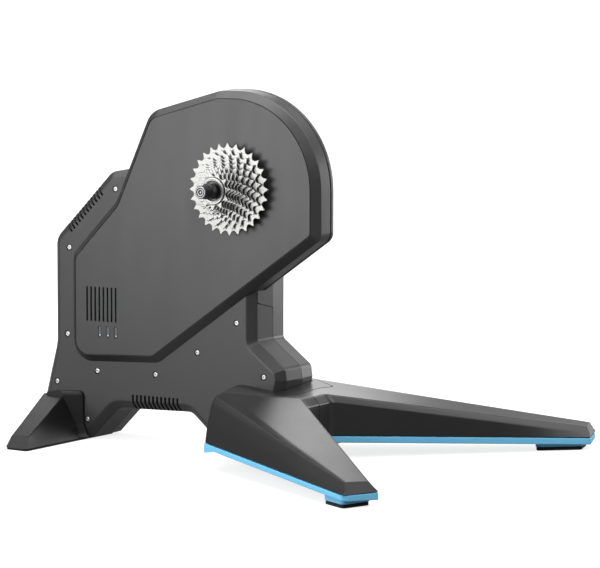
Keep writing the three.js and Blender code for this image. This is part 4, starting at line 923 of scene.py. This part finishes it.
BASE_TOP, BASE_FALL = 35.9, 20.0
BASE_EDGE, BASE_SWELL, BASE_SWELL_WIDTH = 6.6, 1.8, 48.0
BASE_MARGIN, BASE_PARTING = 0.6, 0.15
BASE_RADII = [0.3, 3.0, 9.0, 3.5, 5.0, 0.3]
IN_BASE = 4.0
HEEL_REACH, HEEL_DROP = 26, 5.5


def base_top(x):
    """Height of the base's upper face: a plane that falls towards the tip."""
    return BASE_TOP - BASE_FALL * x / FRONT_REACH


# Sections of a leg at its middle, its root and its tip: x, y and z as shares of its size,
# round from the near lower edge over the ridges to the far lower edge
LEG_SIZE = np.array([FRONT_REACH, HALF_STANCE, 92.0])
leg_sections = LEG_SIZE * [
    [
        (-0.008, 0, 0), (-0.008, 0, 0.63), (-0.006, 0, 0.826), (0, 0, 0.924), (0.008, 0, 0.957),
        (0.155, 0, 0.875), (0.3235, 0, 0.8935), (0.3457, 0, 0.785), (0.3457, 0, 0),
    ],
    [
        (0.123, -0.424, 0), (0.123, -0.408, 0.63), (0.123, -0.374, 0.891),
        (0.123, -0.346, 0.978), (0.1246, -0.287, 1), (0.227, -0.187, 0.94),
        (0.3209, -0.09, 0.891), (0.3463, -0.0935, 0.783), (0.349, -0.0903, 0),
    ],
    [
        (0.9497, -0.997, 0), (0.948, -0.9875, 0.228), (0.945, -0.975, 0.283),
        (0.9425, -0.966, 0.321), (0.9404, -0.958, 0.342), (0.957, -0.91, 0.335),
        (0.9746, -0.861, 0.321), (0.9893, -0.852, 0.239), (0.9984, -0.838, 0),
    ],
]
BASE_PLAN = leg_sections[[0, 1, 2, 2, 1, 0], [0, 0, 0, -1, -1, -1], :2]
leg_sections[:, [0, -1], 2] = base_top(leg_sections[:, [0, -1], 0]) + LEG_GAP
LEG_RADII = [0.5, 10, 3, 2.5, 3, 12, 2.6, 1.6, 0.5]
LEG_TIP_RADII = [7, 6, 5, 4, 2, 1.2, 1.2, 1.5, 2]
LEG_BENDS = {3: [0, 6, 0], 5: [0, 6, 0, 6, 0]}
BEND_STEPS = 4
LEG_SPANS = 14


def lengthwise(sections, radii, spans):
    """Rows from section to section: straight between them, bent where they meet, and each
    straight stretch cut into equal spans."""
    lines = bent(np.swapaxes(sections, 0, 1), radii, BEND_STEPS)
    stops = np.arange(lines.shape[1])
    wanted = np.concatenate([
        np.linspace(a, b, 1 if (a + 1) % (BEND_STEPS + 1) else spans, endpoint=False)
        for a, b in zip(stops[:-1], stops[1:])
    ] + [stops[-1:]])
    low = np.minimum(wanted.astype(int), len(stops) - 2)
    share = (wanted - low)[None, :, None]
    rows = lines[:, low] * (1 - share) + lines[:, low + 1] * share
    return np.swapaxes(rows, 0, 1)


def blunt_end(rows, radii, repeat, steps=4):
    """The last row taken round the end's edge: back by the radius less its sine, and in
    towards the row's middle by the radius less its cosine. Each radius holds for a few
    points of the row."""
    radius = np.repeat(radii, repeat)[:, None]
    last = rows[-1]
    ahead = unit(last - rows[-2])
    inward = unit(last.mean(0) - last)
    turn = np.linspace(0, math.pi / 2, steps + 1)[:, None, None]
    end = last - ahead * radius * (1 - np.sin(turn)) + inward * radius * (1 - np.cos(turn))
    return np.concatenate([rows[:-1], end])


def leg_skin(*sections):
    """Skin of a leg: sections joined by ruled faces, soft along every ridge and at the tip."""
    rows = lengthwise(np.stack(sections), LEG_BENDS[len(sections)], LEG_SPANS)
    rows = bent(rows, LEG_RADII, BEND_STEPS, closed=True)
    return tube(blunt_end(rows, LEG_TIP_RADII, BEND_STEPS + 1))


# The near leg stops a little short of the middle, which leaves the seam between the legs
middle, root, tip = leg_sections
near_middle = middle - (0, 0.7 * SEAM_LINE, 0)
drive_leg_skin = leg_skin(near_middle, root, tip)
both_legs = leg_skin(tip * FLIPPED, root * FLIPPED, middle, root, tip)

PLATE_DEPTH, RECESS_DEPTH = 3.7, 4.0
PLATE_LOW, PLATE_HIGH = 60, 110
plate_corners = np.array([
    (7.5, -4.0, 2.0), (94.5, -4.0, 2.0), (94.5, 90.7, 7.0), (67.0, 100.0, 7.0), (7.5, 100.0, 2.0),
])


def hub_plate(grow):
    """Upright prism on the outline of the cover plate on the hub, made wider all round."""
    heights = map(at_height, (PLATE_LOW, PLATE_HIGH))
    return tube(plan_stack(plate_corners, [-grow, -grow], heights))


def plate_recess():
    """Space for the cover plate in the legs, wider than the plate by two seams all round."""
    return carved("plate_recess", [hub_plate(2 * SEAM_LINE)], [
        (CUT, [lowered(both_legs, RECESS_DEPTH)]),
    ])


hub_cover = carved("hub_plate", [hub_plate(0)], [
    (KEEP_WITHIN, [both_legs]),
    (CUT, [lowered(both_legs, PLATE_DEPTH)]),
    (CUT, body_room()),
])
dress(hub_cover, ["hub_cover"], "leg_grey", angle=25)

for name, leg in (("drive", drive_leg_skin), ("far", mirrored(drive_leg_skin))):
    made = carved(f"{name}_leg", [leg], [
        (CUT, plate_recess()),
        (CUT, body_room()),
    ])
    dress(made, [f"{name}_side_leg"], "leg_grey", angle=25)


def base_drop(x, y):
    """Thickness of the base: the least along its rear edge, and with it as much of the swell
    as the distance from that edge is of the swell's width, at most all of it."""
    a, b = BASE_PLAN[1:3]
    along = unit(b - a)
    off = along[0] * (y - a[1]) - along[1] * (x - a[0])
    return BASE_EDGE + BASE_SWELL * np.clip(off / BASE_SWELL_WIDTH, 0, 1)


def under_top(drop):
    """The height that lies a drop below the base's upper face, as a function of x and y."""
    return lambda x, y: base_top(x) - drop


def over_underside(rise):
    """The height that lies a rise above the base's underside, as a function of x and y."""
    return lambda x, y: base_top(x) - base_drop(x, y) + rise


def base_plan():
    """Outline of the base, a margin wider than the leg, with round corners."""
    plan = BASE_PLAN + unit(BASE_PLAN - BASE_PLAN.mean(0)) * BASE_MARGIN
    plan[[0, -1], 1] = -BASE_PARTING
    return np.column_stack([plan, BASE_RADII])


def base_skin():
    """Base strip: its plan carried from the leg down to its underside, edges softened."""
    heights = [*map(under_top, (0, 0.3, 1.0)), *map(over_underside, (1.0, 0.3, 0))]
    return tube(plan_stack(base_plan(), [1.0, 0.3, 0, 0, 0.3, 1.0], heights))


foot_corners = np.array([(0.831, -0.897), (0.933, -0.965), (0.968, -0.838), (0.833, -0.70)])
foot_corners = np.column_stack([foot_corners * LEG_SIZE[:2], np.full(4, 0.016 * FRONT_REACH)])


def heel_skin():
    """Low wedge under the rear corner of the base: a triangle whose other corners lie a reach
    along both edges. It hangs down by a drop at the corner, and by none at the others."""
    plan = base_plan()[:, :2]
    corner = plan[1]
    ends = [corner + unit(plan[k] - corner) * HEEL_REACH for k in (2, 0)]
    loop = np.array([corner, *ends])
    low = base_top(loop[:, 0]) - BASE_EDGE - np.array([HEEL_DROP, 0, 0])
    high = base_top(loop[:, 0]) - IN_BASE
    return tube(np.stack([np.column_stack([loop, low]), np.column_stack([loop, high])]))


foot_heights = [*map(at_height, (4.6, 4.9, 5.6)), under_top(IN_BASE)]
foot_skin = tube(plan_stack(foot_corners, [0.8, 0.2, 0, 0], foot_heights))
pad_heights = map(at_height, (0, 0.3, 0.9, 3.5, 4.0, 4.3))
pad_skin = tube(plan_stack(foot_corners, [1.9, 1.2, 1.0, 1.0, 1.2, 1.9], pad_heights))
for name, turn in (("drive", lambda part: part), ("far", mirrored)):
    base = carved(f"{name}_base", [turn(base_skin())], [
        (JOIN, [turn(foot_skin)]),
        (JOIN, [turn(heel_skin())]),
        (CUT, body_room()),
    ])
    dress(base, [f"{name}_side_base"], "base_blue")
    pad = skin(f"{name}_pad", [turn(pad_skin)])
    dress(pad, [f"{name}_side_pad"], "rubber")


# ---------------------------- rear foot

# Sections of the wing at its tip and at the body: shares of the foot's size
FOOT_SIZE = np.array([REAR_REACH, 124.0, 59.0])
foot_sections = FOOT_SIZE * [
    [
        (-0.871, -0.972, 0), (-0.86, -0.9, 0.26), (-0.766, -0.925, 0.27),
        (-0.7615, -0.962, 0.14), (-0.757, -1, 0),
    ],
    [
        (-0.955, -0.02, 0), (-0.952, -0.02, 0.95), (-0.846, -0.02, 0.935),
        (-0.81, -0.02, 0.52), (-0.765, -0.02, 0),
    ],
] + (0, 0, REAR_FOOT_HEIGHT)
WING_RADII = [0.4, 3.0, 2.0, 9.0, 0.4]
WING_TIP_RADII = [1.6, 1.6, 2.5, 6, 6]
WING_SPANS, WING_STEPS = 10, 5
wing_rows = lengthwise(foot_sections[::-1], 0.0, WING_SPANS)
wing_rows = bent(wing_rows, WING_RADII, WING_STEPS, closed=True)
wing_skin = tube(blunt_end(wing_rows, WING_TIP_RADII, WING_STEPS + 1))
flange_corners = np.array([
    (-0.968, 0, 0.003), (-0.734, 0, 0.003), (-0.752, 0.053, 0.05), (-0.771, 0.344, 0.1),
    (-0.772, 1.04, 0.025), (-0.93, 1, 0.05), (-0.968, 0.6, 0.1),
]) * FOOT_SIZE[[0, 2, 0]] + (0, REAR_FOOT_HEIGHT, 0)
FLANGE_PIVOT = -0.93 * REAR_REACH
# Along y: where a row of the flange lies and how wide it is from the pivot
FLANGE_ROWS = [(-6, 0.56), (7.2, 0.968), (7.7, 0.985), (8.3, 0.996), (9, 1), (11.7, 1)]


def flange_skin():
    """Flange on the body's plate: an outline carried along y, each row's x scaled from the
    pivot by its share, so that the face leans back from the wing to a thin front edge."""
    rows = stack(flange_corners, [(y, 0) for y, _ in FLANGE_ROWS])
    share = np.array([share for _, share in FLANGE_ROWS])[:, None]
    rows[..., 0] = FLANGE_PIVOT + (rows[..., 0] - FLANGE_PIVOT) * share
    return tube(rows)


rear_foot = skin("rear_wing", [wing_skin, flange_skin()])
dress(rear_foot, ["rear_foot"], "dark_grey")

sole_corners = np.array([
    (-0.871, -0.972, 4.0), (-0.757, -1.0, 6.0), (-0.765, -0.02, 0.5), (-0.765, 0.62, 3.0),
    (-0.955, 0.62, 3.0), (-0.955, -0.02, 0.5),
]) * (REAR_REACH, FOOT_SIZE[1], 1)
sole_heights = map(at_height, (0, 0.6, 1.2, 2.4, REAR_FOOT_HEIGHT - SEAT_GAP))
sole = skin("rear_sole", [tube(plan_stack(sole_corners, [1.2, 0.5, 0.5, 0.5, 1.0], sole_heights))])
dress(sole, ["rear_pad"], "rubber")


# ---------------------------- studio

FLOOR_LEVEL, FLOOR_SHEEN = 0.8, 0.22
PAPER_TONES = 0.1, 0.3
FILL, BACKDROP, DARK_SIDE = 0.5, 0.42, 0.12
FLOOR_REACH = 60.0
# Where the floor's glow starts to grow, how fast and by how much; the same for the backdrop
GLOW_START, GLOW_SLOPE, GLOW_GAIN = 0.9, 1.4, 0.4
BACK_START, BACK_SLOPE = 0.58, 5.0
WHITE = (1, 1, 1, 1)


def lookers(finish):
    """Two masks: rays from the camera, straight or through glass, and reflected rays."""
    path = finish.node("LightPath").outputs
    plain = Value(finish, path["Is Camera Ray"]) + Value(finish, path["Is Transmission Ray"])
    return plain, Value(finish, path["Is Glossy Ray"])


def studio_floor():
    """Wide floor that glows white for the camera and faintly for reflections. Its paper is
    pale for the camera, so that the object's shadow shows a little, and dim for other rays.
    Further away the glow grows until the floor is plain white."""
    mesh = bpy.data.meshes.new("floor")
    reach = FLOOR_REACH
    mesh.from_pydata(
        [(-reach, -reach, 0), (reach, -reach, 0), (reach, reach, 0), (-reach, reach, 0)],
        [], [(0, 1, 2, 3)],
    )
    floor = bpy.data.objects.new("floor", mesh)
    bpy.context.scene.collection.objects.link(floor)
    finish = Finish(bpy.data.materials.new("floor_paper"))
    plain, glossy = lookers(finish)
    apart = finish.node("VectorMath", {"operation": "LENGTH"}, {0: finish.place()})
    away = Value(finish, apart.outputs["Value"]) - GLOW_START
    away = finish.maths("MULTIPLY", away, GLOW_SLOPE, True)
    strength = plain * (FLOOR_LEVEL + GLOW_GAIN * away) + glossy * FLOOR_SHEEN
    glow = finish.node("Emission", None, {"Color": WHITE, "Strength": strength})
    dim, pale = (
        finish.node("BsdfDiffuse", None, {"Color": (tone, tone, tone, 1)}).outputs[0]
        for tone in PAPER_TONES
    )
    paper = finish.node("MixShader", None, {0: plain, 1: dim, 2: pale})
    both = finish.node("AddShader", None, {0: glow.outputs[0], 1: paper.outputs[0]})
    finish.node("OutputMaterial", None, {"Surface": both.outputs[0]})
    mesh.materials.append(finish.owner)


def studio_world():
    """White for the camera, a plain grey fill for the light on the object, and for reflections
    dark in front of the object and brighter behind it."""
    world = bpy.data.worlds.new("studio")
    bpy.context.scene.world = world
    finish = Finish(world)
    plain, glossy = lookers(finish)
    seen = finish.maths("ADD", plain, glossy, True)
    parts = finish.node("SeparateXYZ", None, {0: finish.node("TexCoord").outputs["Generated"]})
    behind = Value(finish, parts.outputs[1]) - BACK_START
    behind = finish.maths("MULTIPLY", behind, BACK_SLOPE, True)
    strength = plain + glossy * (DARK_SIDE + (BACKDROP - DARK_SIDE) * behind)
    fill = finish.node("Background", None, {"Color": WHITE, "Strength": FILL})
    white = finish.node("Background", None, {"Color": WHITE, "Strength": strength})
    both = finish.node("MixShader", None, {0: seen, 1: fill.outputs[0], 2: white.outputs[0]})
    finish.node("OutputWorld", None, {"Surface": both.outputs[0]})


def softbox(side, place, size, level, aim=(0.0, 0.0, 0.22)):
    """Softbox aimed at the object: its power is pi times its area times its brightness."""
    name = side + "_softbox"
    lamp = bpy.data.lights.new(name, "AREA")
    lamp.shape, lamp.size, lamp.size_y = "RECTANGLE", *size
    lamp.energy = math.pi * size[0] * size[1] * level
    made = bpy.data.objects.new(name, lamp)
    made.location = place
    made.rotation_mode = "QUATERNION"
    made.rotation_quaternion = (Vector(aim) - Vector(place)).to_track_quat("-Z", "Y")
    made.visible_camera = False
    bpy.context.scene.collection.objects.link(made)


studio_floor()
studio_world()
softbox("left", (-0.57, -1.4, 0.52), (1.15, 1.0), 4.8, (0.2, -0.15, 0.42))
softbox("left_high", (-1.75, -1.1, 1.15), (0.8, 0.8), 4)
softbox("top_left", (-1.3, -0.2, 2.3), (1.2, 1.2), 4)
softbox("camera", (1.05, -1.7, 1.7), (0.8, 0.9), 8)
softbox("top", (0.0, 0.0, 2.6), (1.6, 1.6), 5.5)
softbox("top_right", (1.19, 0.73, 2.4), (1.4, 1.4), 3.5, (0.0, 0.0, 0.1))
softbox("right", (0.89, 2.2, 0.45), (0.9, 0.9), 6)
softbox("front_right", (2.18, 0.28, 1.6), (0.9, 0.9), 4)
softbox("back", (-1.03, 1.71, 0.8), (0.66, 1.5), 2.0, (0.02, 0.02, 0.8))
softbox("back_high", (-1.47, 1.44, 1.85), (1.0, 0.7), 3.5)
softbox("back_right", (-0.06, 2.2, 1.35), (0.9, 0.7), 2)


CAMERA_PLACE = (2.42537, -3.83249, 0.65432)
CAMERA_TURN = 0.55141, 0.095586, 0.0011113
SENSOR_WIDTH, VIEW_PIXELS, FOCAL_PIXELS = 36.0, 600, 3600.2


def studio_camera():
    """Camera at the photograph's viewpoint: heading, pitch and roll solved from the view, and
    a lens whose length over the sensor is the solved length over the view, in pixels."""
    heading, pitch, roll = CAMERA_TURN
    ahead = Vector((
        -math.sin(heading) * math.cos(pitch), math.cos(heading) * math.cos(pitch), -math.sin(pitch),
    ))
    right = Vector((math.cos(heading), math.sin(heading), 0))
    up = right.cross(ahead)
    right, up = (
        math.cos(roll) * right + math.sin(roll) * up,
        -math.sin(roll) * right + math.cos(roll) * up,
    )
    lens = bpy.data.cameras.new("camera")
    lens.sensor_width = SENSOR_WIDTH
    lens.lens = FOCAL_PIXELS * SENSOR_WIDTH / VIEW_PIXELS
    lens.clip_start, lens.clip_end = 0.1, 200.0
    camera = bpy.data.objects.new("camera", lens)
    turn = Matrix((right, up, -ahead)).transposed().to_4x4()
    camera.matrix_world = Matrix.Translation(CAMERA_PLACE) @ turn
    bpy.context.scene.collection.objects.link(camera)
    bpy.context.scene.camera = camera


studio_camera()
bpy.context.scene.view_settings.view_transform = "Standard"
